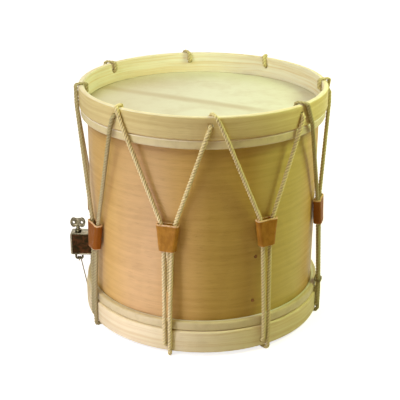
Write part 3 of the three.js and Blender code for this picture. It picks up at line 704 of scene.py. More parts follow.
def goat_skin(name, colours):
    """Dried skin: a darker backbone, darker patches, painted shade towards its left side, a fine relief, and
    a tanned lap with a painted highlight along its top.
    """
    material, nodes, shader = new_material(name)
    place = object_place(nodes)
    parts = nodes.split(place)
    deep = colours.skin_deep
    broad = mottled(nodes, place, *SKIN_BROAD_PATCHES)
    small = mottled(nodes, place, *SKIN_SMALL_PATCHES)
    colour = nodes.mix(nodes.times(broad["Patches"], SKIN_BROAD_SHARE), colours.skin_pale, deep)
    colour = nodes.mix(nodes.times(small["Patches"], SKIN_SMALL_SHARE), colour, deep)
    colour = nodes.mix(nodes.times(backbone(nodes, place), SPINE_SHARE), colour, deep)
    stain = nodes.span(nodes.distance(place, STAIN_PLACE), *STAIN_SPAN)
    colour = nodes.mix(nodes.times(stain, broad["Grain"]), colour, deep)
    # Painted shade towards the skin's left side
    colour = nodes.mix(nodes.span(parts[0], *SKIN_LEFT_SHADE_SPAN), colour, deep)
    lap = nodes.mix(nodes.times(small["Patches"], LAP_PATCH_SHARE), colours.skin_lap, deep)
    # Painted highlight along the top of the lap, just under the hoop
    lap = nodes.mix(nodes.span(parts[2], *LAP_HIGHLIGHT_SPAN), lap, colours.skin_lap_highlight)
    lap = nodes.mix(nodes.span(parts[2], *LOWER_LAP_SPAN), lap, deep)
    lapped = nodes.span(nodes.from_axis(place), *LAPPED_SPAN)
    roughness = nodes.span(small["Grain"], *SKIN_ROUGHNESS_SPAN)
    height = nodes.plus(broad["Patches"], small["Grain"])
    dress(nodes, shader, nodes.mix(lapped, colour, lap), roughness, height, SKIN_RELIEF)
    return material


def laid_cord(name, pale, deep, grime_and_shade, fibre, depth):
    """Twisted fibres: they run with the strands, the grooves are darkened with dirt and painted shade, and
    handled lengths are dulled with grime and painted shade.
    """
    material, nodes, shader = new_material(name)
    place = nodes.attribute("cord_place", "Vector")
    fibre_scale = (1 / fibre, 1 / fibre, 1 / (FIBRE_STRETCH * fibre))
    fibres = nodes.noise(nodes.stretched(place, fibre_scale), detail=3)
    worn = nodes.noise(nodes.stretched(place, CORD_WEAR_SCALE), detail=3)
    colour = nodes.mix(nodes.span(fibres, *FIBRE_SPAN), deep, pale)
    colour = nodes.mix(nodes.span(worn, *CORD_WEAR_SPAN), colour, deep)
    # Grime and painted shade, darkest on the bays at the drum's left and right edges
    colour = nodes.mix(nodes.attribute("grime_and_shade"), colour, grime_and_shade)
    # Dirt and painted shade in the grooves between the strands
    shade = nodes.times(nodes.maths("POWER", nodes.attribute("groove"), GROOVE_SHARPNESS), depth)
    colour = nodes.mix(shade, colour, toned(deep, GROOVE_DIRT_AND_SHADE_TONE))
    dress(nodes, shader, colour, nodes.span(fibres, *CORD_ROUGHNESS_SPAN), fibres, CORD_RELIEF)
    return material


def ear_hide(name, colours):
    """Vegetable-tanned leather with a pebbled grain and rubbed patches."""
    material, nodes, shader = new_material(name)
    place = uv_place(nodes)
    patches = mottled(nodes, place, *HIDE_PATCHES)
    cells = {"Vector": place, "Scale": HIDE_PEBBLE_SCALE}
    pebbles = nodes.first("ShaderNodeTexVoronoi", cells, feature="SMOOTH_F1")
    colour = nodes.mix(patches["Patches"], colours.leather_deep, colours.leather_pale)
    colour = nodes.mix(nodes.span(pebbles, *HIDE_PEBBLE_SPAN), colour, colours.leather_deep)
    # Tanned leather and painted shade, darkest on the ears at the drum's left and right edges
    colour = nodes.mix(nodes.attribute("tan"), colour, colours.leather_tan_and_shade)
    roughness = nodes.span(patches["Patches"], *HIDE_ROUGHNESS_SPAN)
    dress(nodes, shader, colour, roughness, nodes.minus(patches["Grain"], pebbles), HIDE_RELIEF)
    shader.inputs["Specular IOR Level"].default_value = HIDE_SHINE
    return material


def leather_cut(name, colours):
    """The raw, fibrous cut edge of the leather."""
    material, nodes, shader = new_material(name)
    fibres = mottled(nodes, object_place(nodes), *CUT_PATCHES)
    colour = nodes.mix(fibres["Patches"], colours.leather_edge, colours.leather_pale)
    roughness = nodes.span(fibres["Grain"], *CUT_ROUGHNESS_SPAN)
    dress(nodes, shader, colour, roughness, fibres["Grain"], CUT_RELIEF)
    return material


def rubbed_and_highlight_mask(nodes):
    """One on the lid of the tensioner's case and on a strip beside its front, where the strap's edges get a
    painted highlight, and zero elsewhere.
    """
    place = object_place(nodes)
    radius = nodes.from_axis(place)
    begins = nodes.span(radius, HIGHLIGHT_STRIP_START - RUBBED_AND_HIGHLIGHT_BLUR, HIGHLIGHT_STRIP_START)
    ends = nodes.span(radius, HIGHLIGHT_STRIP_END - RUBBED_AND_HIGHLIGHT_BLUR, HIGHLIGHT_STRIP_END, 1.0, 0.0)
    lid = nodes.span(nodes.split(place)[2], HOUSING_TOP - RUBBED_AND_HIGHLIGHT_BLUR, HOUSING_TOP)
    return nodes.maths("MAXIMUM", lid, nodes.times(begins, ends))


def metal(name, bright, dull, smooth, rough, rubbed=None):
    """Plated or darkened metal with tarnish, fine scratches and, where a colour is given, a brighter lid and
    a painted highlight along the strap's front edges.
    """
    material, nodes, shader = new_material(name)
    place = object_place(nodes)
    tarnish = mottled(nodes, place, *TARNISH_PATCHES)["Patches"]
    scratches = nodes.noise(nodes.stretched(place, SCRATCH_SCALE))
    colour = nodes.mix(tarnish, bright, dull)
    if rubbed:
        # Brighter lid, and a painted highlight along the strap's front edges
        colour = nodes.mix(nodes.times(rubbed_and_highlight_mask(nodes), RUBBED_AND_HIGHLIGHT_SHARE), colour, rubbed)
    dress(nodes, shader, colour, nodes.span(tarnish, 0.0, 1.0, smooth, rough), scratches, METAL_RELIEF)
    shader.inputs["Metallic"].default_value = 1.0
    return material


FINISH_MAKERS = {
    "bent_shell_wood": lambda name, c: wood(
        name, c.shell_pale, c.shell_deep, streak=(0.17, 0.0054), figure=0.45, shine=0.1, calm=0.45,
        # A rosy board with a painted sheen, painted shade on the front, and an olive board with the fill
        # light's tint painted in
        tints_and_painted_light=((c.shell_rosy_and_sheen, *SHELL_ROSY_AND_SHEEN), (c.shell_painted_shade, *SHELL_PAINTED_SHADE), (c.shell_greyed_and_fill_tint, *SHELL_GREYED_AND_FILL_TINT))),
    "counterhoop_wood": lambda name, c: wood(
        name, c.hoop_pale, c.hoop_deep, streak=(0.21, 0.0042), figure=0.35, shine=0.02,
        # The pale colours paint light inside the hoops and on the lower hoop, and a highlight on the upper
        # rim
        bare=(c.hoop_painted_light, c.hoop_painted_light_streaks)),
    "flesh_ring_wood": lambda name, c: wood(
        name, c.hoop_pale, c.hoop_deep, streak=(0.15, 0.0030), figure=0.35, shine=0.2),
    "goat_skin": goat_skin,
    "lacing_cord": lambda name, c: laid_cord(
        # The depth sets how dark the grooves' dirt and painted shade are
        name, c.cord_pale, c.cord_deep, c.cord_grime_and_shade, fibre=0.0007, depth=0.6),
    "twisted_gut": lambda name, c: laid_cord(name, c.gut, toned(c.gut, 0.45), c.gut, fibre=0.0004, depth=0.5),
    "ear_hide": ear_hide,
    "leather_cut": leather_cut,
    "nickel": lambda name, c: metal(name, c.nickel, toned(c.nickel, 0.45), smooth=0.25, rough=0.5),
    "worn_nickel": lambda name, c: metal(
        name, c.worn_nickel, toned(c.worn_nickel, 0.55), smooth=0.22, rough=0.45),
    "case_plating": lambda name, c: metal(
        # The nickel colour gives the brighter lid and the painted highlight along the strap's front edges
        name, c.worn_nickel, toned(c.worn_nickel, 0.3), smooth=0.25, rough=0.5, rubbed=c.nickel),
    "cheek_steel": lambda name, c: metal(name, c.cheek, c.cheek_deep, smooth=0.40, rough=0.62),
    "dark_tack": lambda name, c: metal(name, c.tack, toned(c.tack, 0.5), smooth=0.6, rough=0.8),
}


def finish_of(name):
    """The named finish, made once."""
    return bpy.data.materials.get(name) or FINISH_MAKERS[name](name, bpy.context.scene.drum_colours)


def polar(radius, angle, z):
    turn = math.radians(angle)
    return Vector((radius * math.cos(turn), radius * math.sin(turn), z))


def arc_angle(length, radius):
    return math.degrees(length / radius)


def rounded(before, point, after, bend, steps):
    """The points that round one corner of a route or a profile at a bend radius."""
    back = (before - point).normalized()
    ahead = (after - point).normalized()
    half = back.angle(ahead) / 2
    reach = bend / math.tan(half)
    start = point + back * reach
    centre = point + (back + ahead).normalized() * (bend / math.sin(half))
    outward = (start - centre).normalized()
    turn = math.pi - 2 * half
    return [centre + (outward * math.cos(turn * s / steps) - back * math.sin(turn * s / steps)) * bend
            for s in range(steps + 1)]


def rounded_route(corners, steps=8):
    """Points through (place, bend) corners, each rounded at its own bend."""
    points = []
    for at, (place, bend) in enumerate(corners):
        if bend == 0:
            points.append(place)
        else:
            points += rounded(corners[at - 1][0], place, corners[at + 1][0], bend, steps)
    return points


def rounded_profile(corners, steps=ROUND_STEPS):
    """A closed outline through (first, second, rounding) corners, as pairs."""
    places = [Vector((first, second, 0)) for first, second, _ in corners]
    points = []
    for at, (_, _, bend) in enumerate(corners):
        if bend == 0:
            points.append(places[at])
        else:
            points += rounded(places[at - 1], places[at], places[(at + 1) % len(places)], bend, steps)
    return [(point.x, point.y) for point in points]


def evenly(points, step):
    """The same route with points at most one step apart."""
    dense = [points[0]]
    for start, end in zip(points, points[1:]):
        parts = max(round((end - start).length / step), 1)
        dense += [start.lerp(end, part / parts) for part in range(1, parts + 1)]
    return dense


def placed(name, data):
    """A new object in the scene."""
    made = bpy.data.objects.new(name, data)
    bpy.context.scene.collection.objects.link(made)
    return made


def link(name, mesh, finishes):
    """A piece in the scene with its finishes."""
    for finish in finishes:
        mesh.materials.append(finish_of(finish))
    return placed(name, mesh)


def smooth(mesh, angle=SHARP_ANGLE):
    mesh.shade_smooth()
    mesh.set_sharp_from_angle(angle=math.radians(angle))


def grid_mesh(name, rows, wrap_rows, uvs):
    """A mesh from rows of points that end where they start. The last row joins the first where asked."""
    count = len(rows)
    columns = len(rows[0]) - 1
    mesh = bpy.data.meshes.new(name)
    faces = []
    loops = []
    for row in range(count if wrap_rows else count - 1):
        for column in range(columns):
            square = ((row, column), (row, column + 1), (row + 1, column + 1), (row + 1, column))
            faces.append([(r % count) * (columns + 1) + c for r, c in square])
            loops += [uvs(r, c) for r, c in square]
    mesh.from_pydata([point for row in rows for point in row], [], faces)
    layer = mesh.uv_layers.new(name="grain")
    layer.data.foreach_set("uv", np.array(loops, np.float32).ravel())
    merge(mesh)
    return mesh


def merge(mesh):
    """Joins doubled points and turns every face outwards."""
    shape = bmesh.new()
    shape.from_mesh(mesh)
    bmesh.ops.remove_doubles(shape, verts=shape.verts, dist=SAME_PLACE)
    bmesh.ops.recalc_face_normals(shape, faces=shape.faces)
    shape.to_mesh(mesh)
    shape.free()


def travelled_along(outline):
    """How far each point of a closed outline of pairs lies along it."""
    far = [0.0]
    for (x1, y1), (x2, y2) in zip(outline, outline[1:] + outline[:1]):
        far.append(far[-1] + math.hypot(x2 - x1, y2 - y1))
    return far


def turned(name, profile, sides=TURNED_SIDES, closed=True):
    """A turned piece from (radius, level) pairs, with grain coordinates along its circumference."""
    far = travelled_along(profile)
    reach = max(radius for radius, _ in profile)
    angles = [360 * side / sides for side in range(sides + 1)]
    rows = [[polar(radius, angle, z) for angle in angles] for radius, z in profile]
    mesh = grid_mesh(name, rows, closed, lambda row, side: (math.radians(angles[side]) * reach, far[row]))
    smooth(mesh)
    return mesh


def ring_profile(inner, outer, low, high, rounding):
    """The section of a bent board, as (radius, level) pairs with its four edges rounded."""
    return rounded_profile([
        (inner, low, rounding), (outer, low, rounding), (outer, high, rounding), (inner, high, rounding)])


def as_mesh(name, shape):
    mesh = bpy.data.meshes.new(name)
    shape.to_mesh(mesh)
    shape.free()
    return mesh


def drilled(mesh, cutters):
    """The mesh with round holes cut out of it; each cutter is (radius, flare, angle, level, inner, outer)."""
    tools = bmesh.new()
    turns = [math.tau * side / SMALL_SIDES for side in range(SMALL_SIDES)]
    for radius, flare, angle, level, inner, outer in cutters:
        depth = outer - inner
        rim = FLARE_DEPTH * flare
        flared = radius + flare
        stations = ((-DRILL_OVERRUN, flared), (0, flared), (rim, radius), (depth - rim, radius),
                    (depth, flared), (depth + DRILL_OVERRUN, flared))
        rings = []
        for out, wide in stations:
            middle = polar(inner + out, angle, level)
            ring = [polar(wide * math.cos(turn), angle + 90, wide * math.sin(turn)) for turn in turns]
            rings.append([tools.verts.new(middle + point) for point in ring])
        for low, high in zip(rings, rings[1:]):
            for side in range(SMALL_SIDES):
                after = (side + 1) % SMALL_SIDES
                tools.faces.new((low[side], low[after], high[after], high[side]))
        tools.faces.new(rings[0])
        tools.faces.new(rings[-1])
    bmesh.ops.recalc_face_normals(tools, faces=tools.faces)
    return without(mesh, as_mesh("drills", tools))


def without(mesh, tool_mesh):
    """The first mesh with the second cut out of it."""
    work = placed("work", mesh)
    tool = placed("tool", tool_mesh)
    cut = work.modifiers.new("cut", "BOOLEAN")
    cut.object = tool
    cut.operation = "DIFFERENCE"
    cut.solver = "EXACT"
    result = plain_mesh(work)
    bpy.data.objects.remove(tool)
    smooth(result)
    return result


def plain_mesh(work):
    """What the object's modifiers make of it, as a mesh of its own. The object is removed."""
    graph = bpy.context.evaluated_depsgraph_get()
    result = bpy.data.meshes.new_from_object(
        work.evaluated_get(graph), preserve_all_data_layers=True, depsgraph=graph)
    bpy.data.objects.remove(work)
    return result


def bevelled(mesh, width, segments=2):
    """The mesh with its sharp edges rounded over."""
    work = placed("work", mesh)
    bevel = work.modifiers.new("bevel", "BEVEL")
    bevel.width = width
    bevel.segments = segments
    bevel.limit_method = "ANGLE"
    bevel.angle_limit = BEVEL_ANGLE
    result = plain_mesh(work)
    smooth(result)
    return result


def box_mesh(low, high):
    shape = bmesh.new()
    bmesh.ops.create_cube(shape, size=1)
    size = [b - a for a, b in zip(low, high)]
    centre = [(a + b) / 2 for a, b in zip(low, high)]
    place = Matrix.Translation(centre) @ Matrix.Diagonal((*size, 1))
    bmesh.ops.transform(shape, matrix=place, verts=shape.verts)
    return as_mesh("box", shape)


def gathered(name, parts):
    """One mesh from several (mesh, finish index) parts."""
    shape = bmesh.new()
    for mesh, finish in parts:
        first = len(shape.faces)
        shape.from_mesh(mesh)
        shape.faces.ensure_lookup_table()
        for face in shape.faces[first:]:
            face.material_index = finish
    return as_mesh(name, shape)


def extruded(name, outlines, low, high):
    """A flat plate in the x-z plane, from y low to y high. Outlines after the first are holes."""
    shape = bmesh.new()
    edges = []
    for outline in outlines:
        ring = [shape.verts.new((x, low, z)) for x, z in outline]
        edges += [shape.edges.new((ring[at - 1], ring[at])) for at in range(len(ring))]
    bmesh.ops.triangle_fill(shape, use_beauty=True, edges=edges)
    lifted = bmesh.ops.extrude_face_region(shape, geom=shape.faces[:])["geom"]
    corners = [part for part in lifted if isinstance(part, bmesh.types.BMVert)]
    bmesh.ops.translate(shape, verts=corners, vec=(0, high - low, 0))
    bmesh.ops.dissolve_limit(shape, angle_limit=FLAT_ANGLE, verts=shape.verts, edges=shape.edges)
    bmesh.ops.recalc_face_normals(shape, faces=shape.faces)
    return as_mesh(name, shape)


def ellipse(x, z, wide, high, start=0.0, end=math.tau):
    """Points of an ellipse or of an arc of one. Only an arc has a point at its end."""
    count = ELLIPSE_STEPS if end - start == math.tau else ELLIPSE_STEPS + 1
    turns = [start + (end - start) * step / ELLIPSE_STEPS for step in range(count)]
    return [(x + wide * math.cos(turn), z + high * math.sin(turn)) for turn in turns]


def geometry_tree(name, inputs):
    """Starts a geometry node tree and gives its builder, its input sockets and its output node."""
    tree = bpy.data.node_groups.new(name, "GeometryNodeTree")
    tree.interface.new_socket("Geometry", in_out="INPUT", socket_type="NodeSocketGeometry")
    tree.interface.new_socket("Geometry", in_out="OUTPUT", socket_type="NodeSocketGeometry")
    for label, kind in inputs:
        tree.interface.new_socket(label, in_out="INPUT", socket_type=kind)
    return Nodes(tree), tree.nodes.new("NodeGroupInput").outputs, tree.nodes.new("NodeGroupOutput")


def end_tree(nodes, geometry, material, result):
    """Ends a tree in plain geometry with its material."""
    plain = nodes.first("GeometryNodeRealizeInstances", {"Geometry": geometry})
    dressed = nodes.first("GeometryNodeSetMaterial", {"Geometry": plain, "Material": material})
    nodes.put(dressed, result.inputs[0])
    return nodes.tree


@tree_once("laid_cord")
def cord_tree(name):
    """A laid cord along each line of a mesh: a lobed section that turns once in each lay."""
    nodes, given, result = geometry_tree(name, [
        ("Diameter", "NodeSocketFloat"), ("Lay", "NodeSocketFloat"), ("Groove", "NodeSocketFloat"),
        ("Strands", "NodeSocketInt"), ("Sides", "NodeSocketInt"), ("Material", "NodeSocketMaterial")])
    line = nodes.first("GeometryNodeMeshToCurve", {"Mesh": given["Geometry"]})
    along = nodes.add("GeometryNodeSplineParameter").outputs
    tilt = nodes.times(nodes.maths("DIVIDE", along["Length"], given["Lay"]), math.tau)
    line = nodes.first("GeometryNodeSetCurveTilt", {"Curve": line, "Tilt": tilt})
    line = kept(nodes, line, "along", along["Length"])
    radius = nodes.maths("DIVIDE", given["Diameter"], 2.0)
    circle = {"Resolution": given["Sides"], "Radius": radius}
    section = nodes.first("GeometryNodeCurvePrimitiveCircle", circle)
    turn = nodes.times(along["Factor"], math.tau)
    lobes = nodes.times(turn, nodes.maths("DIVIDE", given["Strands"], 2.0))
    groove = nodes.minus(1.0, nodes.maths("ABSOLUTE", nodes.maths("COSINE", lobes)))
    depth = nodes.minus(1.0, nodes.times(groove, given["Groove"]))
    here = nodes.first("GeometryNodeInputPosition")
    pulled = nodes.first("ShaderNodeVectorMath", {0: here, "Scale": depth}, operation="SCALE")
    section = kept(nodes, section, "groove", groove)
    section = kept(nodes, section, "across", nodes.times(nodes.maths("COSINE", turn), radius))
    section = kept(nodes, section, "beside", nodes.times(nodes.maths("SINE", turn), radius))
    section = nodes.first("GeometryNodeSetPosition", {"Geometry": section, "Position": pulled})
    swept = {"Curve": line, "Profile Curve": section, "Fill Caps": True}
    cord = nodes.first("GeometryNodeCurveToMesh", swept)
    place = nodes.first("ShaderNodeCombineXYZ", {
        axis: nodes.first("GeometryNodeInputNamedAttribute", {"Name": label}, data_type="FLOAT")
        for axis, label in enumerate(("across", "beside", "along"))})
    cord = kept(nodes, cord, "cord_place", place, "FLOAT_VECTOR")
    cord = nodes.first("GeometryNodeSetShadeSmooth", {"Geometry": cord})
    return end_tree(nodes, cord, given["Material"], result)


def kept(nodes, geometry, name, value, kind="FLOAT"):
    """The geometry with a value stored on its points under a name."""
    inputs = {"Geometry": geometry, "Name": name, "Value": value}
    return nodes.first("GeometryNodeStoreNamedAttribute", inputs, data_type=kind, domain="POINT")


def grown(name, source, tree, values):
    """A finished piece from a mesh and a geometry node tree with its named inputs set."""
    work = placed("work", source)
    modifier = work.modifiers.new("grow", "NODES")
    modifier.node_group = tree
    for socket in tree.interface.items_tree:
        if socket.in_out == "INPUT" and socket.name in values:
            modifier[socket.identifier] = values[socket.name]
    return placed(name, plain_mesh(work))


def line_mesh(routes):
    """Open lines through the points of each route."""
    mesh = bpy.data.meshes.new("routes")
    points = [point for route in routes for point in route]
    edges = []
    first = 0
    for route in routes:
        edges += [(first + at, first + at + 1) for at in range(len(route) - 1)]
        first += len(route)
    mesh.from_pydata(points, edges, [])
    return mesh


def cord_piece(name, routes, finish, diameter, lay, groove, strands, sides, step):
    return grown(name, line_mesh([evenly(route, step) for route in routes]), cord_tree(), {
        "Diameter": diameter, "Lay": lay, "Groove": groove, "Strands": strands, "Sides": sides,
        "Material": finish_of(finish)})


def mark(mesh, name, value):
    """Gives every point of a mesh the same named value for its finish."""
    layer = mesh.attributes.new(name, "FLOAT", "POINT")
    layer.data.foreach_set("value", [value] * len(mesh.vertices))


def settle(piece, body, slot, *nodes):
    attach(piece, body)
    if nodes:
        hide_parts(*nodes)


class DRUM_OT_shell(bpy.types.Operator):
    """Bend the wooden shell."""

    bl_idname = "drum.shell"
    bl_label = "Shell"

    def execute(self, context):
        profile = ring_profile(
            SHELL_RADIUS - SHELL_WALL, SHELL_RADIUS, SHELL_LOW.z, SHELL_HIGH.z, SHELL_ROUNDING)
        shell = link("bent_shell", turned("bent_shell", profile), ["bent_shell_wood"])
        settle(shell, "drum", "shell_wood", "shell")
        return {"FINISHED"}


class DRUM_OT_hoops(bpy.types.Operator):
    """Bend and drill the two counterhoops."""

    bl_idname = "drum.hoops"
    bl_label = "Counterhoops"

    def execute(self, context):
        sizes = context.scene.drum_sizes
        lead = arc_angle(LACE_LEAD, HOOP_RADIUS)
        shift = lace_shift(sizes)
        lace = (LACE_HOLE_RADIUS, LACE_HOLE_FLARE)
        ends = (HOOP_INNER, HOOP_RADIUS)
        batter_holes = [(*lace, crossing - lead, BATTER_HOLE_LEVEL, *ends) for crossing in RIM_CROSSINGS]
        snare_holes = [(*lace, ear_angle(ear) - shift, SNARE_HOLE_LEVEL, *ends) for ear in range(EAR_COUNT)]
        gates = [(GUT_GATE_RADIUS, GUT_GATE_FLARE, angle, GUT_GATE_LEVEL, *ends)
                 for angle in (TENSIONER_ANGLE, GUT_TIE_ANGLE)]
        for name, low, high, holes in (
                ("batter", BATTER_LOW.z, BATTER_HIGH.z, batter_holes),
                ("snare", SNARE_LOW.z, SNARE_HIGH.z, snare_holes + gates)):
            bend = sizes.hoop_rounding
            free, seated = (high, low) if name == "batter" else (low, high)
            profile = rounded_profile([
                (HOOP_INNER, seated, HOOP_SEAT_ROUNDING), (HOOP_RADIUS, seated, bend),
                (HOOP_RADIUS, free, bend), (HOOP_INNER, free, bend)])
            ring = drilled(turned(f"{name}_counterhoop", profile), holes)
            hoop = link(f"{name}_counterhoop", ring, ["counterhoop_wood"])
            settle(hoop, "drum", "hoop_wood", f"{name}_hoop")
        return {"FINISHED"}


def skin_profile(face, inward, bend):
    """A disc that turns over the shell's edge, covers its flesh hoop and is tucked up behind it."""
    shoulder = SHELL_RADIUS - SKIN_TURN_INSET
    depth = abs(BATTER_SKIN_LOW.z - BATTER_SKIN_HIGH.z)
    under = COLLAR_DROP + SKIN
    tuck = under + SKIN_TUCK
    rings = [(r, 0) for r in np.linspace(0, shoulder - SKIN_FLAT_INSET, SKIN_RINGS)]
    crown = [(shoulder - inset, drop) for inset, drop in SKIN_CROWN]
    lap = rounded_profile([
        (LAP_INNER + SKIN, COLLAR_DROP, LAP_TOP_ROUNDING), (LAP_RADIUS, COLLAR_DROP, bend),
        (LAP_RADIUS, depth, bend), (LAP_INNER, depth, LAP_FOOT_ROUNDING), (LAP_INNER, tuck, 0),
        (LAP_INNER + SKIN, tuck, 0)])
    inside = [(LAP_INNER + SKIN, depth - SKIN), (LAP_RADIUS - SKIN, depth - SKIN), (LAP_RADIUS - SKIN, under),
              (LAP_INNER + CLEARANCE, under), (shoulder - CLEARANCE, SKIN), (0, SKIN)]
    return [(float(r), face + inward * d) for r, d in [*rings, *crown, *lap, *inside]]


class DRUM_OT_skins(bpy.types.Operator):
    """Lap both skins round their flesh hoops."""

    bl_idname = "drum.skins"
    bl_label = "Skins and flesh hoops"

    def execute(self, context):
        bend = context.scene.drum_sizes.lap_rounding
        for name, face, inward in (("batter", BATTER_SKIN_HIGH.z, -1), ("snare", SNARE_SKIN_LOW.z, 1)):
            mesh = turned(f"{name}_skin", skin_profile(face, inward, bend), closed=False)
            self.crease(mesh)
            settle(link(f"{name}_skin", mesh, ["goat_skin"]), "drum", "skin", f"{name}_head")
        for name, low, high in (("batter", FLESH_LOW, FLESH_HIGH),
                                ("snare", SNARE_FLESH_LOW, SNARE_FLESH_HIGH)):
            profile = ring_profile(FLESH_RADIUS - FLESH_WALL, FLESH_RADIUS, low.z, high.z, FLESH_ROUNDING)
            ring = link(f"{name}_flesh_ring", turned(f"{name}_flesh_ring", profile), ["flesh_ring_wood"])
            settle(ring, "drum", "flesh_wood", f"{name}_flesh_hoop")
        return {"FINISHED"}

    @staticmethod
    def crease(mesh):
        """Small puckers where the wet skin dried round its flesh hoop."""
        for vertex in mesh.vertices:
            out = math.hypot(vertex.co.x, vertex.co.y)
            if out > LAP_RADIUS - PUCKER_BAND:
                pucker = min(noise.noise(vertex.co * PUCKER_SCALE) * PUCKER_DEPTH, PUCKER_LIMIT)
                vertex.co.x *= (out + pucker) / out
                vertex.co.y *= (out + pucker) / out


def ear_angle(ear):
    return FIRST_EAR_ANGLE + 360 / EAR_COUNT * ear


def cord_radii(sizes):
    """Radii of the cord's middle line outside and inside the hoops, and its levels over and under them."""
    radius = sizes.cord_diameter / 2
    return (HOOP_RADIUS + CLEARANCE + radius, HOOP_INNER - CLEARANCE - radius,
            BATTER_HIGH.z + CLEARANCE + radius, SNARE_LOW.z - CLEARANCE - radius)


def strand_lean(sizes):
    outer = cord_radii(sizes)[0]
    return outer * (1 - math.cos(math.pi / EAR_COUNT)) / (BATTER_LOW.z - SNARE_HIGH.z)


def strand_radius(sizes, z):
    return cord_radii(sizes)[0] - strand_lean(sizes) * (z - SNARE_HIGH.z)


def ear_place(sizes, ear, across, z):
    """A place beside an ear's middle line. Across is positive towards larger angles."""
    angle = ear_angle(ear)
    return polar(strand_radius(sizes, z), angle, z) + polar(across, angle + 90, 0)


def lace_shift(sizes):
    return arc_angle(STRAND_SPACING / 2, cord_radii(sizes)[0])


def ear_spread(sizes):
    return sizes.ear_top_width / 2 - sizes.leather - CLEARANCE - sizes.cord_diameter / 2


def edge_angle(sizes, face_angle, face_level, ear, side):
    """Where a strand that runs straight from the hoop's face to an ear leaves the hoop's lower edge."""
    mouth = ear_angle(ear) + side * arc_angle(ear_spread(sizes), SHELL_RADIUS)
    share = (face_level - BATTER_LOW.z) / (face_level - EAR_LEVELS[ear] - sizes.ear_length)
    return face_angle + (mouth - face_angle) * share


def upper_routes(sizes, ear):
    """The two strands above an ear: one comes over the rim, the other goes into the next hole."""
    outer, inner, over, _ = cord_radii(sizes)
    lead = arc_angle(LACE_LEAD, HOOP_RADIUS)
    inside_lead = arc_angle(LACE_INSIDE_LEAD, HOOP_INNER)
    start = RIM_CROSSINGS[ear]
    end = RIM_CROSSINGS[ear + 1] if ear + 1 < EAR_COUNT else RIM_CROSSINGS[0] + 360
    wall = (HOOP_INNER + HOOP_RADIUS) / 2
    mouth = EAR_LEVELS[ear] + sizes.ear_length + EAR_EASE
    middle = EAR_LEVELS[ear] + sizes.ear_length / 2
    spread = ear_spread(sizes)
    narrow = (spread + EAR_TAIL_SPACING / 2) / 2
    left = rounded_route([
        (polar(wall, start - lead, BATTER_HOLE_LEVEL), 0),
        (polar(inner, start - lead, BATTER_HOLE_LEVEL), CORD_BEND),
        (polar(inner, start - lead + inside_lead, over), CORD_BEND),
        (polar(outer, start, over), CORD_BEND),
        (polar(outer, edge_angle(sizes, start, over, ear, -1), HOOP_EDGE_LEVEL), CORD_EASE),
        (ear_place(sizes, ear, -spread, mouth), CORD_EASE),
        (ear_place(sizes, ear, -narrow, middle), 0)])
    hole = end - lead
    right = rounded_route([
        (ear_place(sizes, ear, narrow, middle), 0),
        (ear_place(sizes, ear, spread, mouth), CORD_EASE),
        (polar(outer, edge_angle(sizes, hole, BATTER_HOLE_LEVEL, ear, 1), HOOP_EDGE_LEVEL), CORD_EASE),
        (polar(outer, hole, BATTER_HOLE_LEVEL), CORD_BEND),
        (polar(wall, hole, BATTER_HOLE_LEVEL), 0)])
    return [left, right]


def lower_route(sizes, ear):
    """The bight below an ear: down, in through the hoop, under it and up again."""
    outer, inner, _, under = cord_radii(sizes)
    angle = ear_angle(ear)
    shift = lace_shift(sizes)
    tail = EAR_LEVELS[ear] - EAR_EASE
    middle = EAR_LEVELS[ear] + sizes.ear_length / 2
    close = STRAND_SPACING / 2
    apart = EAR_TAIL_SPACING / 2
    narrow = (ear_spread(sizes) + apart) / 2
    return rounded_route([
        (ear_place(sizes, ear, -narrow, middle), 0),
        (ear_place(sizes, ear, -apart, tail), CORD_EASE),
        (ear_place(sizes, ear, -close, STRANDS_CLOSE_LEVEL), CORD_EASE),
        (polar(outer, angle - shift, SNARE_HIGH.z), 0),
        (polar(outer, angle - shift, SNARE_HOLE_LEVEL), CORD_BEND),
        (polar(inner, angle - shift, SNARE_HOLE_LEVEL), CORD_BEND),
        (polar(inner, angle, under), CORD_BEND),
        (polar(outer, angle + shift, under), CORD_BEND),
        (polar(outer, angle + shift, SNARE_HIGH.z), 0),
        (ear_place(sizes, ear, close, STRANDS_CLOSE_LEVEL), CORD_EASE),
        (ear_place(sizes, ear, apart, tail), CORD_EASE),
        (ear_place(sizes, ear, narrow, middle), 0)])


def spare_route(sizes):
    """The cord's spare end: out of its ear between the strands, then down behind them."""
    tail = EAR_LEVELS[SPARE_END_EAR] - EAR_EASE

    def behind(z, set_back):
        return polar(strand_radius(sizes, z) - set_back, ear_angle(SPARE_END_EAR), z)

    return rounded_route([
        (behind(tail + SPARE_END_HOLD, SPARE_END_PINCH), 0),
        (behind(tail, SPARE_END_PINCH), CORD_EASE),
        (behind(tail - SPARE_END_DROP, SPARE_END_SET_BACK), CORD_EASE),
        (behind(SPARE_END_LEVEL, SPARE_END_SET_BACK), 0)])


def press(mesh):
    """Flattens the cord where its pull presses it on the rim, and where the drum stands on it."""
    for vertex in mesh.vertices:
        if vertex.co.z > BATTER_HIGH.z:
            vertex.co.z = BATTER_HIGH.z + RIM_PRESS * (vertex.co.z - BATTER_HIGH.z)
        vertex.co.z = max(vertex.co.z, CAD_LOW.z)


